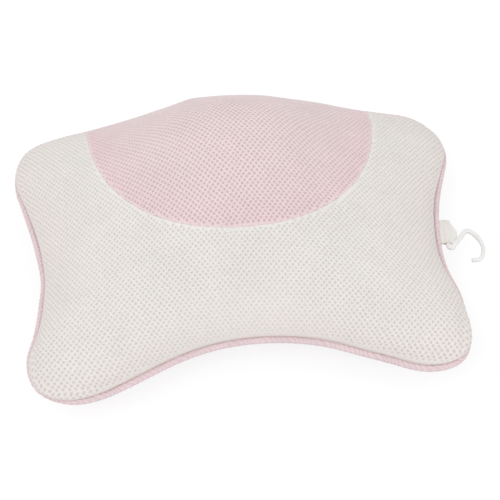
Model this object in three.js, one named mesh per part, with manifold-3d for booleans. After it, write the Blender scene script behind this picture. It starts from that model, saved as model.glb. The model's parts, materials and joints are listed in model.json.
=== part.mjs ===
// Bath pillow: a piped mesh cover over a fibre pad and a head bolster,
// standing on suction cups, with a hanging hook on a ribbon loop at its side.
// Millimetres, +Z up, the head end towards +Y.
import * as THREE from "three";
import { mergeVertices } from "three/addons/utils/BufferGeometryUtils.js";
import Module from "manifold-3d";

// Seam outline in plan: round corners joined by tangent arcs, measured from the middle of the pillow
const HEAD_CORNER_X = 140.5;
const HEAD_CORNER_Y = 92;
const HEAD_CORNER_RADIUS = 44.5;
const NECK_CORNER_X = 132.5;
const NECK_CORNER_Y = -94;
const NECK_CORNER_RADIUS = 38;
const WAIST_RADIUS = 266;
const NECK_NOTCH_RADIUS = 197;
const HEAD_EDGE_RADIUS = 500;

// Front crown above the seam, and the dome that lifts it under the head
const CROWN_HEIGHT = 44;
const CROWN_FLATNESS = 2.8;
const CROWN_ROUNDNESS = 0.55;
const CROWN_MIDDLE_Y = 25;
const CROWN_OVAL_X = 150;
const CROWN_OVAL_Y = 118;
const DOME_HEIGHT = 40;
const DOME_Y = 79;
const DOME_REACH_X = 82;
const DOME_REACH_Y = 91;
const DOME_SHOULDER = 2.5;
const DOME_EDGE_HOLD = 5.3;

// Back belly below the seam, flat in the middle where the cups are fixed
const BELLY_DEPTH = 14;
const BELLY_FLAT_SHARE = 0.7;
const BELLY_FLATNESS = 4;
const BELLY_ROUNDNESS = 0.55;

// Cover cloth, and the oval pink panel let into its head end
const MESH_THICKNESS = 3;
const INSET_Y = 120;
const INSET_REACH_X = 125.5;
const INSET_REACH_Y = 141;
const CLEARANCE = 0.3;

// Piping: a strip folded round a cord, its two edges sewn between the panels
const CORD_DIAMETER = 3;
const STRIP_THICKNESS = 0.8;
const STRIP_SLIT = 0.4;

// Head bolster: a round pad that fills the dome
const BOLSTER_Y = 45;
const BOLSTER_RADIUS = 112;

// Suction cups, in rows across the back
const CUP_COLUMNS = 3;
const CUP_ROWS = 2;
const CUP_COLUMN_PITCH = 95;
const CUP_ROW_PITCH = 100;
const CUP_MIDDLE_Y = 8;
const CUP_RADIUS = 24;
const CUP_RIM_WIDTH = 3.5;
const CUP_RIM_THICKNESS = 0.9;
const CUP_HOLLOW = 6.5;
const CUP_HEIGHT = 11;
const CUP_SHOULDER_RADIUS = 6.8;
const CUP_SHOULDER_HEIGHT = 2.2;
const NECK_RADIUS = 2.5;
const KNOB_RADIUS = 4.3;
const KNOB_HEIGHT = 4.4;
const KNOB_EDGE = 1;
const KNOB_TIP_RADIUS = 2.2;

// Two-part plastic eyelets that line the holes in the back panel
const EYELET_FLANGE_RADIUS = 6.5;
const EYELET_FLANGE_THICKNESS = 1;
const EYELET_WALL = 0.9;
const EYELET_LIP_WIDTH = 1.1;
const EYELET_LIP_THICKNESS = 0.7;
const WASHER_THICKNESS = 1;

// Ribbon loop sewn into the side seam; its fold is drawn in towards both ends
const TAB_Y = 0.4;
const TAB_WIDTH = 25;
const TAB_DEPTH = 12.5;
const TAB_DRAW = 4.8;
const TAB_DRAW_HEAD_LENGTH = 13.5;
const TAB_DRAW_NECK_LENGTH = 8;
const TAB_STITCHED = 0.6;
const TAB_LEG_DISTANCE = 3.1;
const TAB_FOLD_RADIUS = 1.3;
const RIBBON_THICKNESS = 0.8;

// Hook, bent from one rod: runs in millimetres, turns in degrees
const ROD_DIAMETER = 3.4;
const HOOK_LEG_HEAD_LENGTH = 4;
const HOOK_LEG_NECK_LENGTH = 15.2;
const HOOK_CURL_RADIUS = 2.1;
const HOOK_CURL_TURN = 145.5;
const HOOK_SHANK_LENGTH = 19.2;
const HOOK_TOP_RADIUS = 3.8;
const HOOK_TOP_TURN = 96;
const HOOK_SIDE_RADIUS = 23.5;
const HOOK_SIDE_TURN = 71;
const HOOK_END_RADIUS = 6.4;
const HOOK_END_TURN = 71.5;
const HOOK_TIP_LENGTH = 2.7;

// Fineness of the facets
const ARC_STEPS = { notch: 5, neckCorner: 7, waist: 6, headCorner: 7, headEdge: 5 };
const FRONT_RINGS = 8;
const BACK_RINGS = 4;
const INSET_SIDES = 64;
const ROUND_SIDES = 16;
const CORD_SIDES = 6;
const BELL_STEPS = 3;
const RIBBON_STEPS = 4;
const TAB_STEPS = 8;
const ROD_SIDES = 8;
const ROD_STEPS = 88;

// Heights of the stack on the back, from the surface that the cups stand on
const EYELET_Z = CUP_HEIGHT + CLEARANCE;
const BACK_Z = EYELET_Z + EYELET_FLANGE_THICKNESS + CLEARANCE;
const WASHER_Z = BACK_Z + MESH_THICKNESS + CLEARANCE;
const LIP_Z = WASHER_Z + WASHER_THICKNESS + CLEARANCE;
const KNOB_Z = LIP_Z + EYELET_LIP_THICKNESS + CLEARANCE;
const KNOB_TOP_Z = KNOB_Z + KNOB_HEIGHT;

// Heights of the seam, with the piping's folded edge between the two rims
const FOLDED_EDGE = 2 * STRIP_THICKNESS + STRIP_SLIT;
const BACK_RIM_Z = BACK_Z + BELLY_DEPTH;
const SEAM_Z = BACK_RIM_Z + CLEARANCE + FOLDED_EDGE / 2;
const FRONT_RIM_Z = SEAM_Z + FOLDED_EDGE / 2 + CLEARANCE;

// Radii that follow from the fits
const BORE_RADIUS = CORD_DIAMETER / 2 + CLEARANCE;
const BEAD_RADIUS = BORE_RADIUS + STRIP_THICKNESS;
const BARREL_BORE = NECK_RADIUS + CLEARANCE;
const BARREL_RADIUS = BARREL_BORE + EYELET_WALL;
const LIP_RADIUS = BARREL_RADIUS + EYELET_LIP_WIDTH;
const HOLE_RADIUS = BARREL_RADIUS + CLEARANCE;
const POCKET_RADIUS = EYELET_FLANGE_RADIUS + CLEARANCE;
const PAD_INSET = MESH_THICKNESS + CLEARANCE;

const wasm = await Module();
wasm.setup();

// A closed mesh as a solid that can be cut
function solid(geometry) {
  const bare = geometry.clone();
  bare.deleteAttribute("normal");
  bare.deleteAttribute("uv");
  const merged = mergeVertices(bare);
  const vertProperties = new Float32Array(merged.attributes.position.array);
  const triVerts = new Uint32Array(merged.index.array);
  return new wasm.Manifold(new wasm.Mesh({ numProp: 3, vertProperties, triVerts }));
}

// A cut solid as a mesh again
function meshOf(body) {
  const { vertProperties, triVerts } = body.getMesh();
  const geometry = new THREE.BufferGeometry();
  geometry.setAttribute("position", new THREE.BufferAttribute(vertProperties, 3));
  geometry.setIndex(new THREE.BufferAttribute(triVerts, 1));
  geometry.computeVertexNormals();
  return geometry;
}

// Skin over bands that each join one ring of points to another; a ring of one point is a pole
function skin(rings, bands) {
  const starts = [];
  const points = [];
  for (const ring of rings) {
    starts.push(points.length);
    points.push(...ring);
  }
  const faces = [];
  for (const { from, to, inward } of bands) {
    const count = Math.max(rings[from].length, rings[to].length);
    for (let i = 0; i < count; i += 1) {
      const a = starts[from] + (i % rings[from].length);
      const b = starts[from] + ((i + 1) % rings[from].length);
      const c = starts[to] + (i % rings[to].length);
      const d = starts[to] + ((i + 1) % rings[to].length);
      faces.push(...(inward ? [a, d, c] : [a, c, d]));
      if (a !== b) faces.push(...(inward ? [a, b, d] : [a, d, b]));
    }
  }
  const geometry = new THREE.BufferGeometry().setFromPoints(points);
  geometry.setIndex(faces);
  geometry.computeVertexNormals();
  return geometry;
}

// Closed form between an upper and a lower face, each given from its pole to its rim
function between(upper, lower) {
  const bands = [{ from: upper.length - 1, to: upper.length + lower.length - 1 }];
  for (let k = 1; k < upper.length; k += 1) {
    bands.push({ from: k - 1, to: k });
  }
  for (let k = 1; k < lower.length; k += 1) {
    bands.push({ from: upper.length + k - 1, to: upper.length + k, inward: true });
  }
  return skin([...upper, ...lower], bands);
}

// Upright cylinder whose flats, not its edges, lie at the radius, so that it clears what goes through it
function upright(radius, bottom, top, sides = ROUND_SIDES) {
  const corner = radius / Math.cos(Math.PI / sides);
  const geometry = new THREE.CylinderGeometry(corner, corner, top - bottom, sides);
  return geometry.rotateX(Math.PI / 2).translate(0, 0, (top + bottom) / 2);
}

// Centres of the arcs that touch the corners
const headCorner = new THREE.Vector2(HEAD_CORNER_X, HEAD_CORNER_Y);
const neckCorner = new THREE.Vector2(NECK_CORNER_X, NECK_CORNER_Y);
const waist = outsideCentre();
const notch = new THREE.Vector2(
  0,
  NECK_CORNER_Y - Math.sqrt((NECK_NOTCH_RADIUS + NECK_CORNER_RADIUS) ** 2 - NECK_CORNER_X ** 2),
);
const headEdge = new THREE.Vector2(
  0,
  HEAD_CORNER_Y - Math.sqrt((HEAD_EDGE_RADIUS - HEAD_CORNER_RADIUS) ** 2 - HEAD_CORNER_X ** 2),
);

// Centre of the hollow side arc, which touches both corners of one side from outside
function outsideCentre() {
  const side = headCorner.clone().sub(neckCorner);
  const length = side.length();
  const along = side.divideScalar(length);
  const toNeck = WAIST_RADIUS + NECK_CORNER_RADIUS;
  const toHead = WAIST_RADIUS + HEAD_CORNER_RADIUS;
  const run = (toNeck ** 2 - toHead ** 2 + length ** 2) / (2 * length);
  const rise = Math.sqrt(toNeck ** 2 - run ** 2);
  const outward = new THREE.Vector2(along.y, -along.x);
  return neckCorner.clone().addScaledVector(along, run).addScaledVector(outward, rise);
}

function bearing(from, to) {
  return Math.atan2(to.y - from.y, to.x - from.x);
}

// Arcs of the right half, from the middle of the neck notch to the middle of the head edge
const UP = Math.PI / 2;
const seamArcs = [
  { at: notch, radius: NECK_NOTCH_RADIUS, from: UP, to: bearing(notch, neckCorner), hollow: true,
    steps: ARC_STEPS.notch },
  { at: neckCorner, radius: NECK_CORNER_RADIUS, from: bearing(neckCorner, notch),
    to: bearing(neckCorner, waist), hollow: false, steps: ARC_STEPS.neckCorner },
  { at: waist, radius: WAIST_RADIUS, from: bearing(waist, neckCorner),
    to: bearing(waist, headCorner), hollow: true, steps: ARC_STEPS.waist },
  { at: headCorner, radius: HEAD_CORNER_RADIUS, from: bearing(headCorner, waist),
    to: bearing(headEdge, headCorner), hollow: false, steps: ARC_STEPS.headCorner },
  { at: headEdge, radius: HEAD_EDGE_RADIUS, from: bearing(headEdge, headCorner), to: UP, hollow: false,
    steps: ARC_STEPS.headEdge },
];

// The seam outline drawn in by an inset: the arcs keep their centres, so they stay tangent
function seamOutline(inset) {
  const half = seamArcs.flatMap(({ at, radius, from, to, hollow, steps }) => {
    const drawn = hollow ? radius + inset : radius - inset;
    const arc = new THREE.EllipseCurve(at.x, at.y, drawn, drawn, from, to, hollow);
    return arc.getPoints(steps).slice(0, -1);
  });
  const headMiddle = new THREE.Vector2(0, headEdge.y + HEAD_EDGE_RADIUS - inset);
  const mirrored = half.slice(1).map((point) => new THREE.Vector2(-point.x, point.y));
  return [...half, headMiddle, ...mirrored.reverse()];
}

// Rings of a cushion face: shares of the way from its middle to the outline, and a height for each point
function face(inset, shares, ringAt, height) {
  const middle = new THREE.Vector2(0, CROWN_MIDDLE_Y);
  const spokes = seamOutline(inset).map((point) => point.sub(middle));
  return shares.map((share) => {
    const ring = share === 0 ? [new THREE.Vector2()] : spokes.map((spoke) => ringAt(share, spoke));
    return ring.map((point) => {
      const { x, y } = point.add(middle);
      return new THREE.Vector3(x, y, height(share, x, y));
    });
  });
}

// Front rings are ovals in the middle and take on the outline towards the rim
function frontRing(inset) {
  return (share, spoke) => {
    const angle = spoke.angle();
    const across = Math.cos(angle) / (CROWN_OVAL_X - inset);
    const along = Math.sin(angle) / (CROWN_OVAL_Y - inset);
    const oval = 1 / Math.hypot(across, along);
    const reach = THREE.MathUtils.lerp(oval, spoke.length(), share ** 2);
    return spoke.clone().setLength(share * reach);
  };
}

// Back rings keep the outline's shape
function backRing(share, spoke) {
  return spoke.clone().multiplyScalar(share);
}

// Shares that crowd towards the rim, where the cushion turns down
const frontShares = [];
for (let i = 0; i <= FRONT_RINGS; i += 1) {
  frontShares.push(Math.sin((i / FRONT_RINGS) * UP));
}
const backShares = [0];
for (let i = 0; i <= BACK_RINGS; i += 1) {
  backShares.push(BELLY_FLAT_SHARE + (1 - BELLY_FLAT_SHARE) * Math.sin((i / BACK_RINGS) * UP));
}

function dome(share, x, y) {
  const across = Math.abs(x / DOME_REACH_X) ** DOME_SHOULDER;
  const along = ((y - DOME_Y) / DOME_REACH_Y) ** 2;
  return DOME_HEIGHT * Math.exp(-across - along) * Math.sqrt(1 - share ** DOME_EDGE_HOLD);
}

// Front faces, lowered by the cloth and clearance above them, with the dome or without it
function frontFace(inset, domed) {
  const rise = CROWN_HEIGHT - inset;
  return face(inset, frontShares, frontRing(inset), (share, x, y) => {
    const crown = rise * (1 - share ** CROWN_FLATNESS) ** CROWN_ROUNDNESS;
    return FRONT_RIM_Z + crown + (domed ? dome(share, x, y) : 0);
  });
}

// Back faces, raised by the cloth and clearance below them
function backFace(inset) {
  const depth = BELLY_DEPTH - inset;
  const fullness = 1 - BELLY_FLAT_SHARE ** BELLY_FLATNESS;
  return face(inset, backShares, backRing, (share) => {
    const fall = (1 - share ** BELLY_FLATNESS) / fullness;
    return BACK_RIM_Z - depth * Math.min(1, fall) ** BELLY_ROUNDNESS;
  });
}

// Places of the cups, row by row
const cupPlaces = [];
for (let row = 0; row < CUP_ROWS; row += 1) {
  for (let column = 0; column < CUP_COLUMNS; column += 1) {
    cupPlaces.push(new THREE.Vector2(
      (column - (CUP_COLUMNS - 1) / 2) * CUP_COLUMN_PITCH,
      CUP_MIDDLE_Y + (row - (CUP_ROWS - 1) / 2) * CUP_ROW_PITCH,
    ));
  }
}

// Takes an upright hole out of a solid at every cup
function holed(body, radius, bottom, top) {
  return cupPlaces.reduce((left, place) => {
    return left.subtract(solid(upright(radius, bottom, top).translate(place.x, place.y, 0)));
  }, body);
}

const TALL = FRONT_RIM_Z + CROWN_HEIGHT + DOME_HEIGHT;

// Front cover: one domed shell, cut along the oval inset seam
const frontShell = solid(between(frontFace(0, true), frontFace(MESH_THICKNESS, true)));

function insetCutter(grow) {
  const oval = new THREE.Shape();
  oval.absellipse(0, INSET_Y, INSET_REACH_X + grow, INSET_REACH_Y + grow, 0, 2 * Math.PI);
  const options = { depth: TALL, bevelEnabled: false, curveSegments: INSET_SIDES / 2 };
  return solid(new THREE.ExtrudeGeometry(oval, options));
}

function frontPanel() {
  return meshOf(frontShell.subtract(insetCutter(CLEARANCE / 2)));
}

function headInsetPanel() {
  return meshOf(frontShell.intersect(insetCutter(-CLEARANCE / 2)));
}

// Back cover: a shallow shell with a hole for each eyelet
function backPanel() {
  const shell = solid(between(backFace(MESH_THICKNESS), backFace(0)));
  return meshOf(holed(shell, HOLE_RADIUS, 0, FRONT_RIM_Z));
}

// Filling inside the cover, with the dome or without it
function cushion(inset, domed) {
  return solid(between(frontFace(inset, domed), backFace(inset)));
}

// Fibre pad with a pocket over each knob
function basePad() {
  return meshOf(holed(cushion(PAD_INSET, false), POCKET_RADIUS, 0, KNOB_TOP_Z + CLEARANCE));
}

// What the dome holds above the pad, trimmed to a round
function headBolster() {
  const round = solid(upright(BOLSTER_RADIUS, SEAM_Z, TALL, INSET_SIDES).translate(0, BOLSTER_Y, 0));
  const filling = cushion(PAD_INSET, true).intersect(round);
  return meshOf(filling.subtract(cushion(PAD_INSET - CLEARANCE, false)));
}

// A section of points, outward and up, swept round the seam
function roundSeam(section) {
  const outlines = section.map((point) => seamOutline(-point.x));
  const rings = outlines[0].map((_, i) => section.map((point, j) => {
    const { x, y } = outlines[j][i];
    return new THREE.Vector3(x, y, SEAM_Z + point.y);
  }));
  return skin(rings, rings.map((_, i) => ({ from: i, to: (i + 1) % rings.length })));
}

function arcPoints(radius, from, to, clockwise, steps) {
  return new THREE.EllipseCurve(BEAD_RADIUS, 0, radius, radius, from, to, clockwise).getPoints(steps);
}

// Strip section: along the lower edge, round the bead, back along the upper edge, and round the bore inside
function edgePiping() {
  const outer = Math.PI - Math.asin(FOLDED_EDGE / 2 / BEAD_RADIUS);
  const inner = Math.PI - Math.asin(STRIP_SLIT / 2 / BORE_RADIUS);
  const bore = BORE_RADIUS / Math.cos(inner / CORD_SIDES);
  return roundSeam([
    new THREE.Vector2(-MESH_THICKNESS, -FOLDED_EDGE / 2),
    ...arcPoints(BEAD_RADIUS, -outer, outer, false, CORD_SIDES),
    new THREE.Vector2(-MESH_THICKNESS, FOLDED_EDGE / 2),
    new THREE.Vector2(-MESH_THICKNESS, STRIP_SLIT / 2),
    ...arcPoints(bore, inner, -inner, true, CORD_SIDES),
    new THREE.Vector2(-MESH_THICKNESS, -STRIP_SLIT / 2),
  ]);
}

function pipingCord() {
  return roundSeam(arcPoints(CORD_DIAMETER / 2, 0, 2 * Math.PI, false, CORD_SIDES).slice(0, -1));
}

// Turned piece standing on the Z axis, from its profile of radius and height
function turned(profile) {
  const points = profile.map(([radius, height]) => new THREE.Vector2(radius, height));
  return new THREE.LatheGeometry(points, ROUND_SIDES).rotateX(Math.PI / 2);
}

// Suction cup: a bell with a flat rim, a neck through the eyelet and a knob that holds it there
function suctionCup() {
  const rimInside = CUP_RADIUS - CUP_RIM_WIDTH;
  const shoulderBase = CUP_HEIGHT - CUP_SHOULDER_HEIGHT;
  const hollow = new THREE.QuadraticBezierCurve(
    new THREE.Vector2(0, CUP_HOLLOW),
    new THREE.Vector2(rimInside / 2, CUP_HOLLOW),
    new THREE.Vector2(rimInside, 0),
  );
  const bell = new THREE.QuadraticBezierCurve(
    new THREE.Vector2(CUP_RADIUS, CUP_RIM_THICKNESS),
    new THREE.Vector2((CUP_RADIUS + CUP_SHOULDER_RADIUS) / 2, shoulderBase),
    new THREE.Vector2(CUP_SHOULDER_RADIUS, shoulderBase),
  );
  return turned([
    ...hollow.getPoints(BELL_STEPS).map((point) => point.toArray()),
    [CUP_RADIUS, 0],
    ...bell.getPoints(BELL_STEPS).map((point) => point.toArray()),
    [CUP_SHOULDER_RADIUS, CUP_HEIGHT],
    [NECK_RADIUS, CUP_HEIGHT],
    [NECK_RADIUS, KNOB_Z],
    [KNOB_RADIUS, KNOB_Z],
    [KNOB_RADIUS, KNOB_Z + KNOB_EDGE],
    [KNOB_TIP_RADIUS, KNOB_TOP_Z],
    [0, KNOB_TOP_Z],
  ]);
}

// Eyelet: a flange below the cloth, a barrel through it and a lip rolled over the washer
function eyelet() {
  const flangeTop = EYELET_Z + EYELET_FLANGE_THICKNESS;
  const lipTop = LIP_Z + EYELET_LIP_THICKNESS;
  const bore = BARREL_BORE / Math.cos(Math.PI / ROUND_SIDES);
  return turned([
    [bore, EYELET_Z],
    [EYELET_FLANGE_RADIUS, EYELET_Z],
    [EYELET_FLANGE_RADIUS, flangeTop],
    [BARREL_RADIUS, flangeTop],
    [BARREL_RADIUS, LIP_Z],
    [LIP_RADIUS, LIP_Z],
    [LIP_RADIUS, lipTop],
    [bore, lipTop],
    [bore, EYELET_Z],
  ]);
}

function eyeletWasher() {
  const hole = HOLE_RADIUS / Math.cos(Math.PI / ROUND_SIDES);
  const top = WASHER_Z + WASHER_THICKNESS;
  return turned([
    [hole, WASHER_Z],
    [EYELET_FLANGE_RADIUS, WASHER_Z],
    [EYELET_FLANGE_RADIUS, top],
    [hole, top],
    [hole, WASHER_Z],
  ]);
}

// The side seam at the tab: its place and the direction square to it
const tabBearing = Math.PI - Math.asin((TAB_Y - waist.y) / WAIST_RADIUS);
const tabPlace = waist.clone().add(
  new THREE.Vector2(Math.cos(tabBearing), Math.sin(tabBearing)).multiplyScalar(WAIST_RADIUS),
);

// Distances out from the seam; the hollow of the edge and its facets bring it nearer to the ribbon
const EDGE_HOLLOW = WAIST_RADIUS - Math.sqrt(WAIST_RADIUS ** 2 - (TAB_WIDTH / 2) ** 2);
const waistTurn = neckCorner.clone().sub(waist).angleTo(headCorner.clone().sub(waist));
const EDGE_FACET = WAIST_RADIUS * (1 - Math.cos(waistTurn / ARC_STEPS.waist / 2));
const ROOT_OUT = 2 * BEAD_RADIUS + EDGE_HOLLOW + EDGE_FACET + CLEARANCE + RIBBON_THICKNESS;
const LEG_OUT = ROOT_OUT + TAB_LEG_DISTANCE;
const FOLD_OUT = ROOT_OUT + TAB_DEPTH - TAB_FOLD_RADIUS - RIBBON_THICKNESS;

// Ribbon section: two layers sewn at the root, swelling over the hook's leg to the fold
function ribbonLoop(shape, start, half, legHalf, foldHalf) {
  shape.moveTo(start, -half);
  shape.splineThru([new THREE.Vector2(LEG_OUT, -legHalf), new THREE.Vector2(FOLD_OUT, -foldHalf)]);
  shape.absarc(FOLD_OUT, 0, foldHalf, -UP, UP);
  shape.splineThru([new THREE.Vector2(LEG_OUT, legHalf), new THREE.Vector2(start, half)]);
  return shape;
}

// How far the fold is drawn in at a place along the ribbon's width
function foldDraw(along) {
  const half = TAB_WIDTH / 2;
  const head = THREE.MathUtils.smoothstep(along, half - TAB_DRAW_HEAD_LENGTH, half);
  const neck = THREE.MathUtils.smoothstep(-along, half - TAB_DRAW_NECK_LENGTH, half);
  return TAB_DRAW * (head + neck);
}

function hookTab() {
  const legHalf = ROD_DIAMETER / 2 + CLEARANCE;
  const outside = ribbonLoop(new THREE.Shape(), ROOT_OUT, RIBBON_THICKNESS,
    legHalf + RIBBON_THICKNESS, TAB_FOLD_RADIUS);
  outside.absarc(ROOT_OUT, 0, RIBBON_THICKNESS, UP, 3 * UP);
  outside.holes.push(ribbonLoop(new THREE.Path(), ROOT_OUT + TAB_STITCHED, CLEARANCE / 2,
    legHalf, TAB_FOLD_RADIUS - RIBBON_THICKNESS));
  const loop = new THREE.ExtrudeGeometry(outside, {
    depth: TAB_WIDTH, steps: TAB_STEPS, bevelEnabled: false, curveSegments: RIBBON_STEPS,
  });
  loop.rotateX(UP).translate(0, TAB_WIDTH / 2, 0);
  const { position } = loop.attributes;
  for (let i = 0; i < position.count; i += 1) {
    const x = position.getX(i);
    const share = THREE.MathUtils.clamp((x - LEG_OUT) / (FOLD_OUT - LEG_OUT), 0, 1);
    position.setX(i, x - share * foldDraw(position.getY(i)));
  }
  return meshOf(solid(loop));
}

// The rod's middle line, drawn flat like a bent wire
class RodLine extends THREE.Curve {
  constructor(start, heading) {
    super();
    this.path = new THREE.Path().moveTo(start.x, start.y);
    this.heading = heading;
  }

  run(length) {
    const { x, y } = this.path.currentPoint;
    this.path.lineTo(x + length * Math.cos(this.heading), y + length * Math.sin(this.heading));
    return this;
  }

  bend(radius, degrees) {
    const turn = THREE.MathUtils.degToRad(degrees);
    const toCentre = this.heading + Math.sign(turn) * UP;
    const { x, y } = this.path.currentPoint;
    const from = toCentre + Math.PI;
    this.path.absarc(x + radius * Math.cos(toCentre), y + radius * Math.sin(toCentre), radius,
      from, from + turn, turn < 0);
    this.heading += turn;
    return this;
  }

  getPoint(t, target = new THREE.Vector3()) {
    const point = this.path.getPoint(t);
    return target.set(point.x, point.y, 0);
  }
}

function hangHook() {
  const line = new RodLine(new THREE.Vector2(LEG_OUT, HOOK_LEG_HEAD_LENGTH), -UP)
    .run(HOOK_LEG_HEAD_LENGTH + HOOK_LEG_NECK_LENGTH)
    .bend(HOOK_CURL_RADIUS, HOOK_CURL_TURN)
    .run(HOOK_SHANK_LENGTH)
    .bend(HOOK_TOP_RADIUS, -HOOK_TOP_TURN)
    .bend(HOOK_SIDE_RADIUS, -HOOK_SIDE_TURN)
    .bend(HOOK_END_RADIUS, -HOOK_END_TURN)
    .run(HOOK_TIP_LENGTH);
  const round = new THREE.Shape().absarc(0, 0, ROD_DIAMETER / 2, 0, 2 * Math.PI);
  return new THREE.ExtrudeGeometry(round, {
    steps: ROD_STEPS, extrudePath: line, curveSegments: ROD_SIDES / 2,
  });
}

// Finishes
const finish = (color, roughness) => new THREE.MeshStandardMaterial({ color, roughness, metalness: 0 });
const ivoryMesh = finish(0xe3ded9, 0.9);
const pinkMesh = finish(0xe1cfcf, 0.9);
const pinkBacking = finish(0xe0c6c8, 0.9);
const pinkPiping = finish(0xe2bfc4, 0.85);
const cottonCord = finish(0xf0ece6, 0.95);
const fibre = finish(0xf6f5f2, 1);
const ribbon = finish(0xe4ddd0, 0.8);
const whitePlastic = finish(0xe6e6e4, 0.35);
const clearVinyl = finish(0xdfe8ec, 0.15);

const pillow = new THREE.Group();

function add(parent, name, geometry, material) {
  const mesh = new THREE.Mesh(geometry, material);
  mesh.name = name;
  parent.add(mesh);
}

add(pillow, "front_panel", frontPanel(), ivoryMesh);
add(pillow, "head_inset_panel", headInsetPanel(), pinkMesh);
add(pillow, "back_panel", backPanel(), pinkBacking);
add(pillow, "edge_piping", edgePiping(), pinkPiping);
add(pillow, "piping_cord", pipingCord(), cottonCord);
add(pillow, "base_pad", basePad(), fibre);
add(pillow, "head_bolster", headBolster(), fibre);

cupPlaces.forEach((place, i) => {
  const spot = new THREE.Group();
  spot.position.set(place.x, place.y, 0);
  add(spot, `suction_cup_${i + 1}`, suctionCup(), clearVinyl);
  add(spot, `eyelet_${i + 1}`, eyelet(), whitePlastic);
  add(spot, `eyelet_washer_${i + 1}`, eyeletWasher(), whitePlastic);
  pillow.add(spot);
});

const side = new THREE.Group();
side.position.set(tabPlace.x, tabPlace.y, SEAM_Z);
side.rotation.z = tabBearing - Math.PI;
add(side, "hook_tab", hookTab(), ribbon);
add(side, "hang_hook", hangHook(), whitePlastic);
pillow.add(side);

// The origin is the middle of the surface that the cups stand on
const middle = new THREE.Box3().setFromObject(pillow, true).getCenter(new THREE.Vector3());
pillow.position.set(-middle.x, -middle.y, 0);

export default pillow;
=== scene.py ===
# %% [markdown]
# A bath pillow, dressed
#
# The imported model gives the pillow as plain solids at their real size. This lesson gives them
# their looks: a knitted spacer mesh with thousands of small holes, a piped edge, a ribbon loop,
# a moulded hook and clear suction cups. Everything stays in the frame of the solids, in metres,
# so each piece goes exactly where its solid is.

# %% Load the frame
import json
import math

import bpy
import numpy as np
from mathutils import Matrix, Vector
from mathutils.bvhtree import BVHTree


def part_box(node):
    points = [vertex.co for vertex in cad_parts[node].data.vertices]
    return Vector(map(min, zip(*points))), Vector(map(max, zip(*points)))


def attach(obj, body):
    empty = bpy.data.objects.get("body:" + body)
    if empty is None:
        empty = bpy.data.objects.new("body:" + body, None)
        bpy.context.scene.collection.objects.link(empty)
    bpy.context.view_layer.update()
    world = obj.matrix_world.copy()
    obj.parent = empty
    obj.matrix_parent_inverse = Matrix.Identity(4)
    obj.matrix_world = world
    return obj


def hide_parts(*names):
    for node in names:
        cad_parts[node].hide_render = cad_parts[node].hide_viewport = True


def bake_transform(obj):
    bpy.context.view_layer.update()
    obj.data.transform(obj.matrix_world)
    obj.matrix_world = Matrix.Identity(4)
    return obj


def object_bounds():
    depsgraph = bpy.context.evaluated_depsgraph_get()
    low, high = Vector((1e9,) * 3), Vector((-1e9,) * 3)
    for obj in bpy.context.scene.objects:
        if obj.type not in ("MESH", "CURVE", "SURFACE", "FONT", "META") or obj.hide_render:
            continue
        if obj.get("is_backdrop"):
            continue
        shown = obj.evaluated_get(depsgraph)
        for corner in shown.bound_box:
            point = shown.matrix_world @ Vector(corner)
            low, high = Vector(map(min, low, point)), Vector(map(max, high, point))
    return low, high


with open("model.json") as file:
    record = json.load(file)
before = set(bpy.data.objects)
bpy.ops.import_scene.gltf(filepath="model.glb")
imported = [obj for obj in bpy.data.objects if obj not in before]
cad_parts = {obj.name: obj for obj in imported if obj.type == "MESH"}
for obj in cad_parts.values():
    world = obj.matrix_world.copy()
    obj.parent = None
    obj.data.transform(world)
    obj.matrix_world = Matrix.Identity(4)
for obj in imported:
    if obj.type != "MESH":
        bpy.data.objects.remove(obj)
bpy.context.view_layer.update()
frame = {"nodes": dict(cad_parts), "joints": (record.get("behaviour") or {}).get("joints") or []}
scene = bpy.context.scene

# %% [markdown]
# The camera
#
# A product photograph is usually taken with a longish lens from above the front edge. Instead of
# guessing, the view is set by two angles, a distance and a lens, and the small shift puts the
# pillow where the picture frame has it. A hair of roll levels the notch.

# %% Camera
CUPS = [f"suction_cup_{number}" for number in range(1, 7)]
CUPS_Y = 8.0  # the cups' middle lies this far towards the head from the seam's, in millimetres
SEAM_Z = 27.9
FOCAL, PICTURE, MIDDLE = 1321.35, 500, (241.11, 249.06)  # in picture points
AZIMUTH, ELEVATION, ROLL = -5.81, 51.0, 0.3  # in degrees
SENSOR, DISTANCE = 36.0, 1.1  # in millimetres, and in metres from the seam's middle

cup_middle = np.mean([np.array(side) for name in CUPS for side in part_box(name)], axis=0) * 1000
SEAM_MIDDLE = np.array([cup_middle[0], cup_middle[1] - CUPS_Y, 0.0])

azimuth, elevation, roll = (math.radians(a) for a in (AZIMUTH, ELEVATION, ROLL))
back = Vector((math.sin(azimuth) * math.cos(elevation),
               -math.cos(azimuth) * math.cos(elevation),
               math.sin(elevation)))
level = Vector((math.cos(azimuth), math.sin(azimuth), 0.0))
upward = back.cross(level)
right = level * math.cos(roll) - upward * math.sin(roll)
upward = level * math.sin(roll) + upward * math.cos(roll)

camera = bpy.data.objects.new("camera", bpy.data.cameras.new("camera"))
scene.collection.objects.link(camera)
camera.data.sensor_width = SENSOR
camera.data.lens = FOCAL / PICTURE * SENSOR
camera.data.shift_x = 0.5 - MIDDLE[0] / PICTURE
camera.data.shift_y = MIDDLE[1] / PICTURE - 0.5
aim = Vector((SEAM_MIDDLE[0], SEAM_MIDDLE[1], SEAM_Z)) / 1000
turned_view = Matrix((right, upward, back)).transposed().to_4x4()
camera.matrix_world = Matrix.Translation(aim + back * DISTANCE) @ turned_view
scene.camera = camera
print("camera: lens", round(camera.data.lens, 1), "mm; seam middle", SEAM_MIDDLE.round(2))

# %% [markdown]
# Floor and light
#
# Pale mesh on white needs soft light that still has a direction, or the small holes vanish. A pale
# world gives most of the light, one large lamp from the upper left models the form and a weaker
# one fills the right. The floor shows white to the camera and still takes the pillow's shadow.

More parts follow.
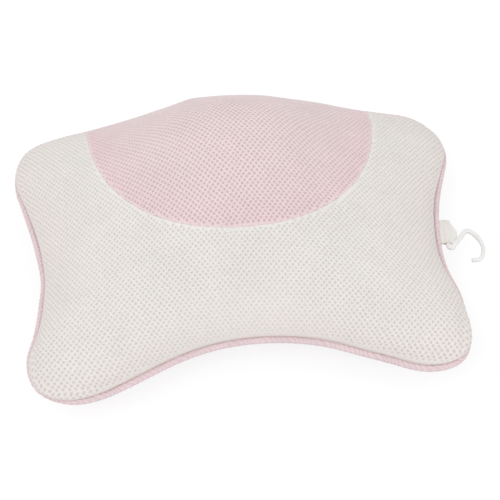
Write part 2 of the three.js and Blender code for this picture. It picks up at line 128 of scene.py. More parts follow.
# %% World
def add_node(material, kind, inputs=(), **settings):
    """Adds a node; inputs maps socket names to a value or to another node's output."""
    node = material.node_tree.nodes.new("ShaderNode" + kind)
    for key, value in settings.items():
        setattr(node, key, value)
    for key, value in dict(inputs).items():
        if isinstance(value, bpy.types.NodeSocket):
            material.node_tree.links.new(value, node.inputs[key])
        else:
            node.inputs[key].default_value = value
    return node


def calc(material, operation, a, b, **settings):
    """The result of one sum."""
    return add_node(material, "Math", {0: a, 1: b}, operation=operation, **settings).outputs[0]


def backdrop_rays(material):
    """1 for rays that see the white backdrop: from the camera, mirrored, or through clear vinyl."""
    rays = add_node(material, "LightPath").outputs
    mirrored = calc(material, "MAXIMUM", rays["Is Camera Ray"], rays["Is Glossy Ray"])
    return calc(material, "MAXIMUM", mirrored, rays["Is Transmission Ray"])


def mix_shaders(material, share, first, second):
    return add_node(material, "MixShader", {0: share, 1: first, 2: second}).outputs[0]


def grey(value):
    return (value, value, value, 1)


world = bpy.data.worlds.new("studio")
scene.world = world
world.use_nodes = True
world.node_tree.nodes.clear()
glow = add_node(world, "Background", {"Color": (0.98, 0.99, 1.0, 1), "Strength": 0.71}).outputs[0]
white = add_node(world, "Background", {"Color": grey(1.0), "Strength": 1.0}).outputs[0]
add_node(world, "OutputWorld", {"Surface": mix_shaders(world, backdrop_rays(world), glow, white)})
scene.view_settings.view_transform = "Standard"
print("world", world.name)

# %% Floor and lamps
FLOOR_Z, FLOOR_HALF = -0.0003, 4
LAMPS = (("key", (-1.1, -1.0, 1.9), 1.1, 12.3), ("fill", (1.5, -0.9, 1.3), 1.6, 9.0),
         ("rear", (-1.2, 1.3, 1.5), 1.4, 5.5))  # name, place, size, watts


def new_material(name):
    """A node material with nothing in it yet."""
    material = bpy.data.materials.new(name)
    material.use_nodes = True
    material.node_tree.nodes.clear()
    return material


floor_mesh = bpy.data.meshes.new("floor")
floor_corners = [(x * FLOOR_HALF, y * FLOOR_HALF, FLOOR_Z) for x, y in ((-1, -1), (1, -1), (1, 1), (-1, 1))]
floor_mesh.from_pydata(floor_corners, [], [(0, 1, 2, 3)])
floor = bpy.data.objects.new("floor", floor_mesh)
scene.collection.objects.link(floor)
paper = new_material("floor_paper")
lit = add_node(paper, "BsdfDiffuse", {"Color": grey(0.86)}).outputs[0]
soft = add_node(paper, "BsdfDiffuse", {"Color": grey(0.22)}).outputs[0]
lift = add_node(paper, "Emission", {"Color": grey(1.0), "Strength": 0.82}).outputs[0]
shown = add_node(paper, "AddShader", {0: soft, 1: lift}).outputs[0]
mixed = mix_shaders(paper, backdrop_rays(paper), lit, shown)
under = add_node(paper, "NewGeometry").outputs["Backfacing"]
clear = add_node(paper, "BsdfTransparent").outputs[0]
add_node(paper, "OutputMaterial", {"Surface": mix_shaders(paper, under, mixed, clear)})
floor.data.materials.append(paper)
floor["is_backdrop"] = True

for name, spot, size, watts in LAMPS:
    light = bpy.data.lights.new(name, "AREA")
    light.size, light.energy = size, watts
    holder = bpy.data.objects.new(name, light)
    scene.collection.objects.link(holder)
    holder.location = spot
    holder.rotation_euler = (aim - Vector(spot)).to_track_quat("-Z", "Y").to_euler()
print("floor and", len(LAMPS), "lamps")

# %% [markdown]
# The seam outline
#
# Seen from above, the pillow is four round corners joined by long shallow arcs: hollow at both
# sides and at the neck, bowed at the head. Drawing it with tangent arcs, as a pattern cutter
# would, keeps every join smooth. Angles and distances from the crown's middle follow from it.

# %% Outline of the seam, in millimetres from its own middle
HEAD_CORNER = (140.5, 92.0, 44.5)  # x, y, radius
NECK_CORNER = (132.5, -94.0, 38.0)
WAIST, NOTCH, HEAD_EDGE = 266.0, 197.0, 500.0
CROWN_Y = 25.0
QUARTER = math.pi / 2
# Soft corners sag a little away from the drawn pattern: place, push, reach
SAGS = (((-150, -110), (-3.5, -1.0), 50), ((-95, -105), (0.0, -4.5), 48), ((95, -100), (0.0, -1.5), 48),
        ((-155, 118), (0.0, 1.4), 40), ((-185, 92), (2.6, 0.0), 24), ((-175, 130), (-1.8, 1.0), 15),
        ((-173, 35), (-1.0, 0.0), 25), ((-167, -18), (1.2, 0.0), 18), ((-122, -132), (0.0, 2.2), 17),
        ((-172, -70), (0.4, 0.0), 26), ((-166, -122), (-1.4, -0.8), 16), ((10, -91), (0.0, -0.7), 70),
        ((182, 62), (2.4, 0.0), 28), ((160, -26), (-1.5, 0.0), 22), ((168, -66), (1.4, 0.0), 16),
        ((170, -96), (-2.8, 0.0), 20), ((154, -126), (1.8, -2.2), 17), ((116, -129), (0.0, 2.0), 15),
        ((80, -113), (0.0, -1.2), 18))


def nearness(x, y, place, reach):
    """1 at a place, and less with distance, over the given reach."""
    return np.exp(-((x - place[0]) ** 2 + (y - place[1]) ** 2) / reach**2)


def polar(radius, angle):
    return np.stack([radius * np.cos(angle), radius * np.sin(angle)], -1)


def to_polar(place):
    return np.hypot(place[..., 0], place[..., 1]), np.arctan2(place[..., 1], place[..., 0])


def arc(middle, radius, start, end, steps=90):
    """Points of an arc that takes the short way from one bearing to the other."""
    turn = (end - start + math.pi) % (2 * math.pi) - math.pi
    return middle + polar(radius, start + turn * np.arange(steps) / steps)


def bearing(a, b):
    return math.atan2(b[1] - a[1], b[0] - a[0])


def seam_outline(count=1200):
    """Evenly spaced points round the seam, from the middle of the neck notch, anticlockwise."""
    head, neck = np.array(HEAD_CORNER[:2]), np.array(NECK_CORNER[:2])
    span = np.hypot(*(head - neck))
    along = (head - neck) / span
    to_neck, to_head = WAIST + NECK_CORNER[2], WAIST + HEAD_CORNER[2]
    run = (to_neck**2 - to_head**2 + span**2) / (2 * span)
    outward = np.array([along[1], -along[0]])
    waist = neck + along * run + outward * math.sqrt(to_neck**2 - run**2)
    notch = np.array([0, neck[1] - math.sqrt((NOTCH + NECK_CORNER[2]) ** 2 - neck[0] ** 2)])
    brow = np.array([0, head[1] - math.sqrt((HEAD_EDGE - HEAD_CORNER[2]) ** 2 - head[0] ** 2)])
    half = np.concatenate([
        arc(notch, NOTCH, QUARTER, bearing(notch, neck)),
        arc(neck, NECK_CORNER[2], bearing(neck, notch), bearing(neck, waist)),
        arc(waist, WAIST, bearing(waist, neck), bearing(waist, head)),
        arc(head, HEAD_CORNER[2], bearing(head, waist), bearing(brow, head)),
        arc(brow, HEAD_EDGE, bearing(brow, head), QUARTER),
    ])
    top = brow + [0, HEAD_EDGE]
    line = np.concatenate([half, [top], half[:0:-1] * [-1, 1], half[:1]])
    steps = np.concatenate([[0], np.cumsum(np.hypot(*np.diff(line, axis=0).T))])
    places = np.linspace(0, steps[-1], count, endpoint=False)
    line = np.stack([np.interp(places, steps, line[:, i]) for i in (0, 1)], 1)
    for place, push, reach in SAGS:
        line = line + nearness(*line.T, place, reach)[:, None] * np.array(push)
    return line, steps[-1]


outline, seam_length = seam_outline()
spoke_lengths, spoke_angles = to_polar(outline - [0, CROWN_Y])
spoke_angles = np.unwrap(spoke_angles)


def spoke(angle):
    """Distance from the crown's middle to the seam."""
    return np.interp(angle, spoke_angles, spoke_lengths, period=2 * math.pi)


print("seam length", round(seam_length), "mm; spokes turn one way:", bool((np.diff(spoke_angles) > 0).all()))

# %% [markdown]
# The cushion's faces
#
# The front is a crown that stands up steeply at the seam and swells to a dome under the head. The
# back is a shallow belly, flat where the cups are fixed. Each face is a function of two numbers:
# an angle round the crown, and a turn from 0 in the middle to a quarter circle at the seam. With a
# turn instead of a plain distance, the steep rim gets as many points as the flat middle.

# %% Front and back as functions
FRONT_RIM_Z, BACK_RIM_Z = 29.2, 26.6
OVAL_HALF = (150, 118)  # the rings in the middle
CROWN_HEIGHT, CROWN_FLAT, CROWN_ROUND = 44, 2.8, 0.55
DOME_HEIGHT, DOME_Y, DOME_HALF, DOME_SIDES, DOME_FLAT = 40, 79, (82, 91), 2.5, 5.3
BELLY_DEPTH, BELLY_START, BELLY_FLAT, BELLY_ROUND = 14, 0.7, 4, 0.55
# Where the filling stands up or sinks under the head edge: place, how far, reach
LUMPS = (((-31, 131), 2.1, 12), ((14, 128), -1.1, 20), ((89, 141), 4.8, 26))
LUMPS_FLAT = 12
# Where the stuffed wall leans out over the seam: place, how far, reach
LEAN, LEAN_START, LEAN_BOW = 0.9, 0.87, 2.4
LEANS = (((182, -92), 7.6, 44), ((176, -124), 4.8, 26), ((190, 96), 5.0, 34), ((186, 66), 1.6, 30),
         ((-190, 92), 6.2, 42), ((-167, -15), 1.8, 30), ((-182, -96), 4.2, 40), ((-152, -134), 8.4, 36))


def front_reach(share, angle):
    """Rings are ovals in the middle and take on the outline at the seam."""
    oval = 1 / np.hypot(np.cos(angle) / OVAL_HALF[0], np.sin(angle) / OVAL_HALF[1])
    return share * (oval + (spoke(angle) - oval) * share**2)


def plan_at(reach, angle):
    """Place in plan of a point at some distance from the crown's middle."""
    return polar(reach, angle) + [0, CROWN_Y]


def overhang(turn, angle):
    """How far the stuffed wall leans out over the seam, most at the corners."""
    climb = np.clip((turn - LEAN_START) / (QUARTER - LEAN_START), 0, 1)
    seam = plan_at(spoke(angle), angle)
    amount = LEAN
    for place, far, reach in LEANS:
        amount = amount + far * nearness(seam[..., 0], seam[..., 1], place, reach)
    return amount * np.sin(math.pi * climb**LEAN_BOW)


def front_at(turn, angle):
    share = np.sin(turn)
    plan = plan_at(front_reach(share, angle), angle)
    x, y = plan[..., 0], plan[..., 1]
    crown = CROWN_HEIGHT * np.clip(1 - share**CROWN_FLAT, 0, 1) ** CROWN_ROUND
    dome = DOME_HEIGHT * np.exp(-np.abs(x / DOME_HALF[0]) ** DOME_SIDES - ((y - DOME_Y) / DOME_HALF[1]) ** 2)
    height = FRONT_RIM_Z + crown + dome * np.sqrt(np.clip(1 - share**DOME_FLAT, 0, 1))
    for place, far, reach in LUMPS:
        height = height + far * nearness(x, y, place, reach) * (1 - share**LUMPS_FLAT)
    plan = plan + polar(overhang(turn, angle), angle)
    return np.concatenate([plan, height[..., None]], -1)


def back_at(turn, angle):
    share = np.sin(turn)
    fall = np.clip((1 - share**BELLY_FLAT) / (1 - BELLY_START**BELLY_FLAT), 0, 1)
    height = BACK_RIM_Z - BELLY_DEPTH * fall**BELLY_ROUND
    return np.concatenate([plan_at(share * spoke(angle), angle), height[..., None]], -1)


centre = np.zeros(1)
print("middle of front and back:", front_at(centre, centre).round(1), back_at(centre, centre).round(1))

# %% [markdown]
# Laying the cloth
#
# A flat cloth can't cover a dome without stretching somewhere. A net of squares is dropped on the
# face and relaxed until the squares' sides have their flat length again, as nearly as they can.
# The knit gives more across than along, so the net may stretch where it climbs in the middle.

# %% Reading smoothly between values
def ease(value, low, high):
    """0 below low, 1 above high, and smooth between."""
    t = np.clip((value - low) / (high - low), 0, 1)
    return t * t * (3 - 2 * t)


def between(grid, row, column, closed=True):
    """Reads a grid between its points; closed means that the columns go round."""
    row = np.clip(row, 0, grid.shape[0] - 1.001)
    if not closed:
        column = np.clip(column, 0, grid.shape[1] - 1.001)
    i, j = np.floor(row).astype(int), np.floor(column).astype(int)
    u, v = row - i, column - j
    if grid.ndim == 3:
        u, v = u[:, None], v[:, None]
    j, k = j % grid.shape[1], (j + 1) % grid.shape[1]
    low = grid[i, j] * (1 - v) + grid[i, k] * v
    high = grid[i + 1, j] * (1 - v) + grid[i + 1, k] * v
    return low * (1 - u) + high * u


print("ease at 0.25 and 0.5:", ease(0.25, 0, 1).round(2), ease(0.5, 0, 1).round(2))

# %% A face with its cloth
class Face:
    """One face of the cushion, with a flat cloth relaxed over it."""

    ROWS, COLUMNS = 161, 360
    SQUARE, ACROSS, DEEP, SKIRT = 10.0, 25, 22, 60.0
    ROUNDS, NUDGE, LONGEST_STEP, STEADY = 200, 0.002, 0.03, 1e-3
    FREE = (0.7, 1.1)  # the turns between which the cloth stops giving
    # Neighbours, their distance in squares, their hold, and their give
    THREADS = ((np.s_[:, :-1], np.s_[:, 1:], 1, 0.3, 0.7), (np.s_[:-1], np.s_[1:], 1, 0.3, 0.0),
               (np.s_[:-1, :-1], np.s_[1:, 1:], 2**0.5, 0.1, 0.3),
               (np.s_[:-1, 1:], np.s_[1:, :-1], 2**0.5, 0.1, 0.3))
    # Turns at which the normal can be taken, and the steps for it
    NORMAL_FROM, NORMAL_TO, STEP_OUT, STEP_ROUND = 0.03, QUARTER - 0.004, 0.003, 0.004

    def __init__(self, at, side):
        self.at, self.side = at, side
        self.turns = np.linspace(0, QUARTER, self.ROWS)
        self.angles = np.linspace(-math.pi, math.pi, self.COLUMNS, endpoint=False)
        points = at(*np.meshgrid(self.turns, self.angles, indexing="ij"))
        steps = np.linalg.norm(np.diff(points, axis=0), axis=2)
        self.walked = np.concatenate([np.zeros((1, self.COLUMNS)), np.cumsum(steps, 0)])
        self.swell = np.zeros((self.ROWS, self.COLUMNS))
        self.drape()

    def row(self, turn):
        return turn / QUARTER * (self.ROWS - 1)

    def column(self, angle):
        return (angle + math.pi) / (2 * math.pi) * self.COLUMNS

    def to_seam(self, angle):
        """Length of cloth from the middle to the seam."""
        return between(self.walked[-1:].repeat(2, 0), 0.0 * angle, self.column(angle))

    def spot(self, place):
        """A place is a turn and an angle as one flat vector; past the seam a skirt hangs down."""
        turn, angle = to_polar(place)
        past = np.maximum(turn - QUARTER, 0)
        point = self.at(turn - past, angle)
        point[..., 2] -= self.side * past * self.SKIRT
        return point

    def drape(self):
        """Relaxes a net of squares on the face until their sides have their flat length again."""
        j, i = np.mgrid[-self.DEEP:self.DEEP + 1, -self.ACROSS:self.ACROSS + 1]
        reach, angle = np.hypot(i, j) * self.SQUARE, np.arctan2(j, i)
        shares = np.linspace(0, 1, self.ROWS)
        turns = np.stack([np.interp(shares, w / w[-1], shares * QUARTER) for w in self.walked.T], 1)
        whole = self.to_seam(angle)
        turn = between(turns, np.minimum(reach / whole, 1) * (self.ROWS - 1), self.column(angle))
        place = polar(turn + np.maximum(reach - whole, 0) / self.SKIRT, angle)
        for _ in range(self.ROUNDS):
            points = self.spot(place)
            move = np.zeros_like(points)
            gentle = 1 - ease(to_polar(place)[0], *self.FREE)
            for a, b, length, hold, give in self.THREADS:
                gap = points[b] - points[a]
                gap[..., 2] *= 1 - give * gentle[a] * gentle[b]
                size = np.linalg.norm(gap, axis=-1, keepdims=True)
                pull = gap * (1 - length * self.SQUARE / np.maximum(size, 1e-6)) * hold
                move[a] += pull
                move[b] -= pull
            by_x = (self.spot(place + [self.NUDGE, 0]) - points) / self.NUDGE
            by_y = (self.spot(place + [0, self.NUDGE]) - points) / self.NUDGE
            xx, xy, yy = (by_x**2).sum(-1), (by_x * by_y).sum(-1), (by_y**2).sum(-1)
            px, py = (by_x * move).sum(-1), (by_y * move).sum(-1)
            whole = xx * yy - xy**2 + self.STEADY * (xx + yy) ** 2
            step = np.stack([(yy * px - xy * py) / whole, (xx * py - xy * px) / whole], -1)
            step[self.DEEP, self.ACROSS] = 0
            place = place + np.clip(step, -self.LONGEST_STEP, self.LONGEST_STEP)
        self.net = place
        inside = to_polar(place)[0] < QUARTER
        gaps = np.linalg.norm(np.diff(self.spot(place), axis=1), axis=-1)[inside[:, 1:]] / self.SQUARE
        print("net: sides", gaps.min().round(2), "to", gaps.max().round(2), "mean", gaps.mean().round(3))

    def lay(self, flat):
        """Turn and angle for points of the flat cloth, and the cloth left to the seam."""
        row, column = flat[:, 1] / self.SQUARE + self.DEEP, flat[:, 0] / self.SQUARE + self.ACROSS
        turn, angle = to_polar(between(self.net, row, column, closed=False))
        past = np.maximum(turn - QUARTER, 0)
        turn = turn - past
        so_far = between(self.walked, self.row(turn), self.column(angle))
        return turn, angle, self.to_seam(angle) - so_far - past * self.SKIRT

    def normal(self, turn, angle):
        turn = np.clip(turn, self.NORMAL_FROM, self.NORMAL_TO)
        out = self.at(turn + self.STEP_OUT, angle) - self.at(turn - self.STEP_OUT, angle)
        round_it = self.at(turn, angle + self.STEP_ROUND) - self.at(turn, angle - self.STEP_ROUND)
        normal = np.cross(out, round_it) * self.side
        return normal / np.linalg.norm(normal, axis=-1, keepdims=True)

    def point(self, turn, angle, lift):
        """A point on the cloth, lifted off it along its normal."""
        swell = between(self.swell, self.row(turn), self.column(angle))
        return self.at(turn, angle) + self.normal(turn, angle) * (swell + lift)[..., None]


front, rear = Face(front_at, 1), Face(back_at, -1)
for name, face in (("front", front), ("back", rear)):
    print("cloth reach,", name, face.walked[-1].min().round(), "to", face.walked[-1].max().round(), "mm")

# %% [markdown]
# Stuffing the cover
#
# A stuffed cover is never a perfect surface: the filling pushes where the cloth is free and the
# seam holds it back. A short cloth simulation finds that. A slightly smaller cushion is remeshed
# to even squares, pinned along the seam and all over the back, and swollen by pressure. Only the
# small difference from its mean swelling is kept, so that the pillow keeps its measured size.

# %% Mesh helpers
def to_frame(points):
    """From millimetres about the seam's middle to metres in the frame."""
    return (np.asarray(points, float) + SEAM_MIDDLE) / 1000


def make_piece(name, points, faces):
    """A smooth mesh object from points in metres."""
    mesh = bpy.data.meshes.new(name)
    mesh.from_pydata(np.asarray(points).tolist(), [], [list(map(int, f)) for f in faces])
    mesh.polygons.foreach_set("use_smooth", [True] * len(mesh.polygons))
    mesh.update()
    piece = bpy.data.objects.new(name, mesh)
    scene.collection.objects.link(piece)
    return piece


def grid_faces(rows, columns, closed_rows=False, closed_columns=True):
    """Squares of a grid of points that is stored row by row."""
    faces = []
    for i in range(rows if closed_rows else rows - 1):
        for j in range(columns if closed_columns else columns - 1):
            a, b = i * columns + j, i * columns + (j + 1) % columns
            c, d = (i + 1) % rows * columns + j, (i + 1) % rows * columns + (j + 1) % columns
            faces.append((b, d, c, a))
    return faces


print("a ring of 4 rows by 6 points has", len(grid_faces(4, 6)), "squares")

# %% A cushion inside the cover
RINGS, SPOKES, RING_START = 26, 150, 0.03
SHRINK = 4.0  # how far inside the cover, in millimetres


def cushion_form(floor_z=None):
    """A closed cushion inside the cover, as points in millimetres and faces."""
    angles = np.linspace(-math.pi, math.pi, SPOKES, endpoint=False)
    rise, fall = np.linspace(RING_START, QUARTER, RINGS), np.linspace(QUARTER, RING_START, RINGS)[1:]
    layers = [face.point(np.full(SPOKES, turn), angles, np.full(SPOKES, -SHRINK))
              for face, turns in ((front, rise), (rear, fall)) for turn in turns]
    points = np.concatenate(layers)
    if floor_z is not None:
        points[:, 2] = np.maximum(points[:, 2], floor_z)
    top, bottom, last = len(points), len(points) + 1, (len(layers) - 1) * SPOKES
    points = np.concatenate([points, [layers[0].mean(0)], [points[-SPOKES:].mean(0)]])
    faces = [f[::-1] for f in grid_faces(len(layers), SPOKES)]
    for j in range(SPOKES):
        k = (j + 1) % SPOKES
        faces += [(top, j, k), (bottom, last + k, last + j)]
    return points, faces


print("cushion points", len(cushion_form()[0]))

# %% Blow it up
VOXEL, HELD_ABOVE, MOST_MOVE, FRAMES = 6.0, 3.0, 6.0, 20  # in millimetres, apart from the frames
CLOTH = {"quality": 6, "mass": 0.25, "tension_stiffness": 25, "compression_stiffness": 25,
         "bending_stiffness": 1.5, "use_pressure": True, "uniform_pressure_force": 4,
         "vertex_group_mass": "held"}


def swollen_shape():
    """Runs the pressure simulation and returns the swollen cushion for measuring."""
    points, faces = cushion_form()
    dummy = make_piece("swelling", to_frame(points), faces)
    squares = dummy.modifiers.new("squares", "REMESH")
    squares.mode, squares.voxel_size = "VOXEL", VOXEL / 1000
    even = bpy.data.meshes.new_from_object(dummy.evaluated_get(bpy.context.evaluated_depsgraph_get()))
    dummy.modifiers.clear()
    dummy.data = even
    start = np.array([v.co for v in even.vertices])
    pinned = np.flatnonzero(start[:, 2] < (FRONT_RIM_Z + HELD_ABOVE) / 1000)
    dummy.vertex_groups.new(name="held").add(pinned.tolist(), 1.0, "REPLACE")
    cloth = dummy.modifiers.new("cloth", "CLOTH")
    for key, value in CLOTH.items():
        setattr(cloth.settings, key, value)
    cloth.settings.effector_weights.gravity = 0
    cloth.collision_settings.use_collision = False
    cloth.point_cache.frame_start, cloth.point_cache.frame_end = 1, FRAMES
    for number in range(1, FRAMES + 1):
        scene.frame_set(number)
    shape = dummy.evaluated_get(bpy.context.evaluated_depsgraph_get()).data
    moved = np.array([v.co for v in shape.vertices]) - start
    length = np.linalg.norm(moved, axis=1, keepdims=True)
    moved *= np.minimum(1, MOST_MOVE / 1000 / np.maximum(length, 1e-9))
    tree = BVHTree.FromPolygons((start + moved).tolist(), [list(p.vertices) for p in even.polygons])
    scene.frame_set(1)
    bpy.data.objects.remove(dummy)
    print("swelling: points", len(start), "moved up to", round(float(length.max() * 1000), 1), "mm")
    return tree

# %% Swell the cover
MOST_SWELL, PROBE_FROM, PROBE_REACH = 2.0, 20.0, 50.0  # in millimetres
EVERY_ROW, EVERY_COLUMN, FREE_SHARE, FADE = 4, 3, 0.75, 0.35


def swell_cover():
    """Stores how far each part of the front swells, more or less than the mean."""
    tree = swollen_shape()
    turns, angles = front.turns[::EVERY_ROW], front.angles[::EVERY_COLUMN]
    coarse = np.full((len(turns), len(angles)), -SHRINK)
    for i, turn in enumerate(np.repeat(turns[:, None], len(angles), 1)):
        spots, normals = to_frame(front.at(turn, angles)), front.normal(turn, angles)
        for j, (spot, normal) in enumerate(zip(spots, normals)):
            start = Vector(spot + normal * (PROBE_FROM / 1000))
            hit = tree.ray_cast(start, Vector(-normal), PROBE_REACH / 1000)
            if hit[0] is not None:
                coarse[i, j] = PROBE_FROM - hit[3] * 1000
    for _ in range(2):
        coarse = (coarse + np.roll(coarse, 1, 1) + np.roll(coarse, -1, 1)) / 3
        coarse[1:-1] = (coarse[:-2] + coarse[1:-1] + coarse[2:]) / 3
    free = np.arange(0, Face.ROWS, EVERY_ROW) < Face.ROWS * FREE_SHARE
    coarse = np.clip(coarse - coarse[free].mean(), -MOST_SWELL, MOST_SWELL)
    coarse *= np.clip((QUARTER - turns) / FADE, 0, 1)[:, None]
    rows, columns = np.mgrid[:Face.ROWS, :Face.COLUMNS]
    front.swell = between(coarse, rows / EVERY_ROW, columns / EVERY_COLUMN)
    print("swelling kept", front.swell.min().round(2), "to", front.swell.max().round(2), "mm")


swell_cover()

# %% [markdown]
# Spacer mesh
#
# The cover is a knitted spacer mesh: staggered rows of small oval holes about 4.5 mm apart, with
# rounded webs between them. A picture of holes would look painted on, so each hole is modelled.
# A flat honeycomb is laid out, wrapped over the face by the cloth pattern, and every cell gets a
# ring that dips to a floor. Towards a seam the holes grow shallow, because the cloth is pressed.

# %% The inset's seam and the pattern of cells
PITCH, ROW = 4.5, 2.72
INSET_MIDDLE, INSET_HALF = np.array([2.1, 142.0]), np.array([125.1, 163.7])
INSET_FULLNESS = 2.28  # 2 is a plain oval, more is fuller towards its corners


def inside_inset(plan):
    """Distance inside the oval seam of the head inset, and the share of the way out to it."""
    scaled_down = np.abs(plan - INSET_MIDDLE) / INSET_HALF
    share = np.maximum((scaled_down**INSET_FULLNESS).sum(1) ** (1 / INSET_FULLNESS), 1e-6)
    slope = np.hypot(*((scaled_down / share[:, None]) ** (INSET_FULLNESS - 1) / INSET_HALF).T)
    return (1 - share) / np.maximum(slope, 1e-6), share


def front_plan(turn, angle):
    """Place in plan of a point of the front, without the wall's overhang."""
    return plan_at(front_reach(np.sin(turn), angle), angle)


def from_plan(plan):
    """Turn and angle of the front's point above a place in plan."""
    reach, angle = to_polar(plan - [0, CROWN_Y])
    low, high = np.zeros(len(plan)), np.ones(len(plan))
    for _ in range(40):
        share = (low + high) / 2
        short = front_reach(share, angle) < reach
        low, high = np.where(short, share, low), np.where(short, high, share)
    return np.arcsin(np.clip((low + high) / 2, 0, 1)), angle


def honeycomb(reach, tilt, scale):
    """Centres of staggered cells over a round of cloth, the six corners of one cell, and the tilt."""
    pitch, row = PITCH * scale, ROW * scale
    rows, columns = int(reach / row) + 1, int(reach / pitch) + 1
    j, i = np.mgrid[-rows:rows + 1, -columns:columns + 1]
    centres = np.stack([(i + 0.5 * (j % 2)) * pitch, j * row], -1).reshape(-1, 2)
    side = (row**2 - pitch**2 / 4) / (2 * row)
    corners = np.array([(pitch / 2, -side), (pitch / 2, side), (0, row - side),
                        (-pitch / 2, side), (-pitch / 2, -side), (0, side - row)])
    tilted = np.array([[math.cos(tilt), math.sin(tilt)], [-math.sin(tilt), math.cos(tilt)]])
    return centres @ tilted, corners, tilted


print("mesh pitch", PITCH, "mm; inset", 2 * INSET_HALF[0], "mm wide")

# %% Numbers stored on a mesh
def paint(piece, label, values):
    """Stores a number at each point of a mesh, for its finish."""
    layer = piece.data.attributes.new(label, "FLOAT", "POINT")
    layer.data.foreach_set("value", values.ravel().astype(np.float32))


def weave_map(piece, flat):
    """Stores where each point lies on the flat cloth, given in millimetres."""
    corners = np.zeros(len(piece.data.loops), np.int32)
    piece.data.loops.foreach_get("vertex_index", corners)
    layer = piece.data.uv_layers.new(name="weave")
    layer.data.foreach_set("uv", (flat[corners] / 1000).astype(np.float32).ravel())


print("stored on a panel: how deep in a hole, how near a seam, and the place on the flat cloth")

# %% Knit one panel
HOLE, HOLE_DEPTH = (1.0, 1.3), 0.9  # half its width and height, and its depth
CLOSED_SIZE, FLOOR_SIZE = 0.35, 0.72  # shares of an open hole's size
SIZES, JOG, SEED = (0.9, 1.08), 0.07, 11
# LIP_PIT: the share of the hole's darker colour, partly painted shade, that the lip ring takes
LIP_DEPTH, LIP_PIT = 0.3, 0.4
GROOVE_DEPTH, GROOVE_WIDTH = 0.7, 2.2
SEAM_FADE, RIM_FADE = 14, 24  # how far the blush reaches
TAUT_ACROSS, TAUT_IN = 95, 40  # the stretched part along the notch
TUCK_IN, TUCK_DOWN = 0.008, 0.35  # the front's cut edge under the inset's: share of the way, and depth
CLOTH_MARGIN, FAR = 1.1, 99.0


def knit(name, face, tilt, part, scale=1.0, at_rim=(2.0, 8.0), at_seam=(0.6, 2.6), taut=0.0):
    """A panel of mesh. part is its side of the inset's seam: 1 in, -1 out, 0 all over.

    at_rim and at_seam say where the holes start and are open; taut closes holes at the notch.
    """
    def inside(flat):
        """Turn and angle of points of the cloth, and how far they are inside the rim and the seam."""
        turn, angle, rim = face.lay(flat)
        seam = inside_inset(front_plan(turn, angle))[0] * part if part else np.full(len(flat), FAR)
        return turn, angle, rim, seam

    centres, corners, tilted = honeycomb(face.walked[-1].max() * CLOTH_MARGIN, tilt, scale)
    centres = centres[np.minimum(*inside(centres)[2:]) > -PITCH]
    count = len(centres)
    turn, angle, rim, seam = inside(centres)
    strength = ease(rim, *at_rim) * ease(seam, *at_seam)
    aside = front_plan(turn, angle)[:, 0]
    notch = np.exp(-(aside / TAUT_ACROSS) ** 2 - (np.maximum(rim, 0) / TAUT_IN) ** 2)
    strength *= 1 - taut * notch * (np.sin(angle) < 0)
    rng = np.random.default_rng(SEED)
    size = (CLOSED_SIZE + (1 - CLOSED_SIZE) * strength) * rng.uniform(*SIZES, count)
    jog = rng.normal(0, JOG, (count, 2))

    edge = centres[:, None, :] + (corners @ tilted)[None]
    keys, shared = np.unique(np.round(edge.reshape(-1, 2), 2), axis=0, return_inverse=True)
    shared = shared.reshape(count, 6)
    six = math.radians(-30) + np.arange(6) * math.radians(60)
    opening = ((polar(1, six) * HOLE * scale) @ tilted)[None] * size[:, None, None]
    middle = (centres + jog)[:, None, :]
    rings = [middle + opening, middle + opening * FLOOR_SIZE]
    flat = np.concatenate([keys] + [ring.reshape(-1, 2) for ring in rings])
    level = np.zeros(len(keys))
    dip = np.concatenate([level, np.repeat(LIP_DEPTH * strength, 6), np.repeat(HOLE_DEPTH * strength, 6)])
    # How much of the darker hole colour each point takes: painted shade that deepens towards the hole's
    # floor
    pit = np.concatenate([level, np.repeat(LIP_PIT * strength, 6), np.repeat(strength, 6)])

    turn, angle, rim, seam = inside(flat)
    if part:
        over = seam < 0
        tuck_in, tuck_down = (TUCK_IN, TUCK_DOWN) if part < 0 else (0, 0)
        plan = front_plan(turn[over], angle[over])
        share = inside_inset(plan)[1][:, None]
        turn[over], angle[over] = from_plan(INSET_MIDDLE + (plan - INSET_MIDDLE) * (1 - tuck_in) / share)
        dip[over] += tuck_down
    groove = GROOVE_DEPTH * np.exp(-(np.maximum(seam, 0) / GROOVE_WIDTH) ** 2)
    points = face.point(turn, angle, -dip - groove)

    k = np.arange(6)
    n = (k + 1) % 6
    ring, ring_next = (len(keys) + 6 * np.arange(count)[:, None] + step for step in (k, n))
    down, down_next = ring + 6 * count, ring_next + 6 * count
    webs = np.stack([shared[:, k], shared[:, n], ring_next, ring], -1).reshape(-1, 4)
    walls = np.stack([ring, ring_next, down_next, down], -1).reshape(-1, 4)
    faces = [part_faces[:, ::face.side].tolist() for part_faces in (webs, walls, down)]
    piece = make_piece(name, to_frame(points), sum(faces, []))
    paint(piece, "pit", pit)
    paint(piece, "seam", np.exp(-np.maximum(seam, 0) / SEAM_FADE))
    paint(piece, "rim", np.exp(-np.maximum(rim, 0) / RIM_FADE))
    weave_map(piece, flat)
    print(name, "cells", count, "triangles", sum(len(p.vertices) - 2 for p in piece.data.polygons))
    return piece

# %% [markdown]
# Finishes from nodes
#
# Every finish here is a small node graph: an uneven tone between two colours, a fine relief and a
# roughness that varies a little. A painted picture could do it too, but it would blur up close.
# Each helper adds one such step, so that a finish reads as a short recipe. Positions come from the
# object itself, so the grain keeps its size.

# %% Steps of a finish
def object_place(material):
    return add_node(material, "TexCoord").outputs["Object"]


def painted(material, label):
    """A number that is stored at the points of the mesh."""
    return add_node(material, "Attribute", attribute_name=label).outputs["Fac"]


def noise(material, place, scale, detail, more=()):
    """An uneven tone from 0 to 1."""
    sockets = {"Vector": place, "Scale": scale, "Detail": detail, **dict(more)}
    return add_node(material, "TexNoise", sockets).outputs["Fac"]


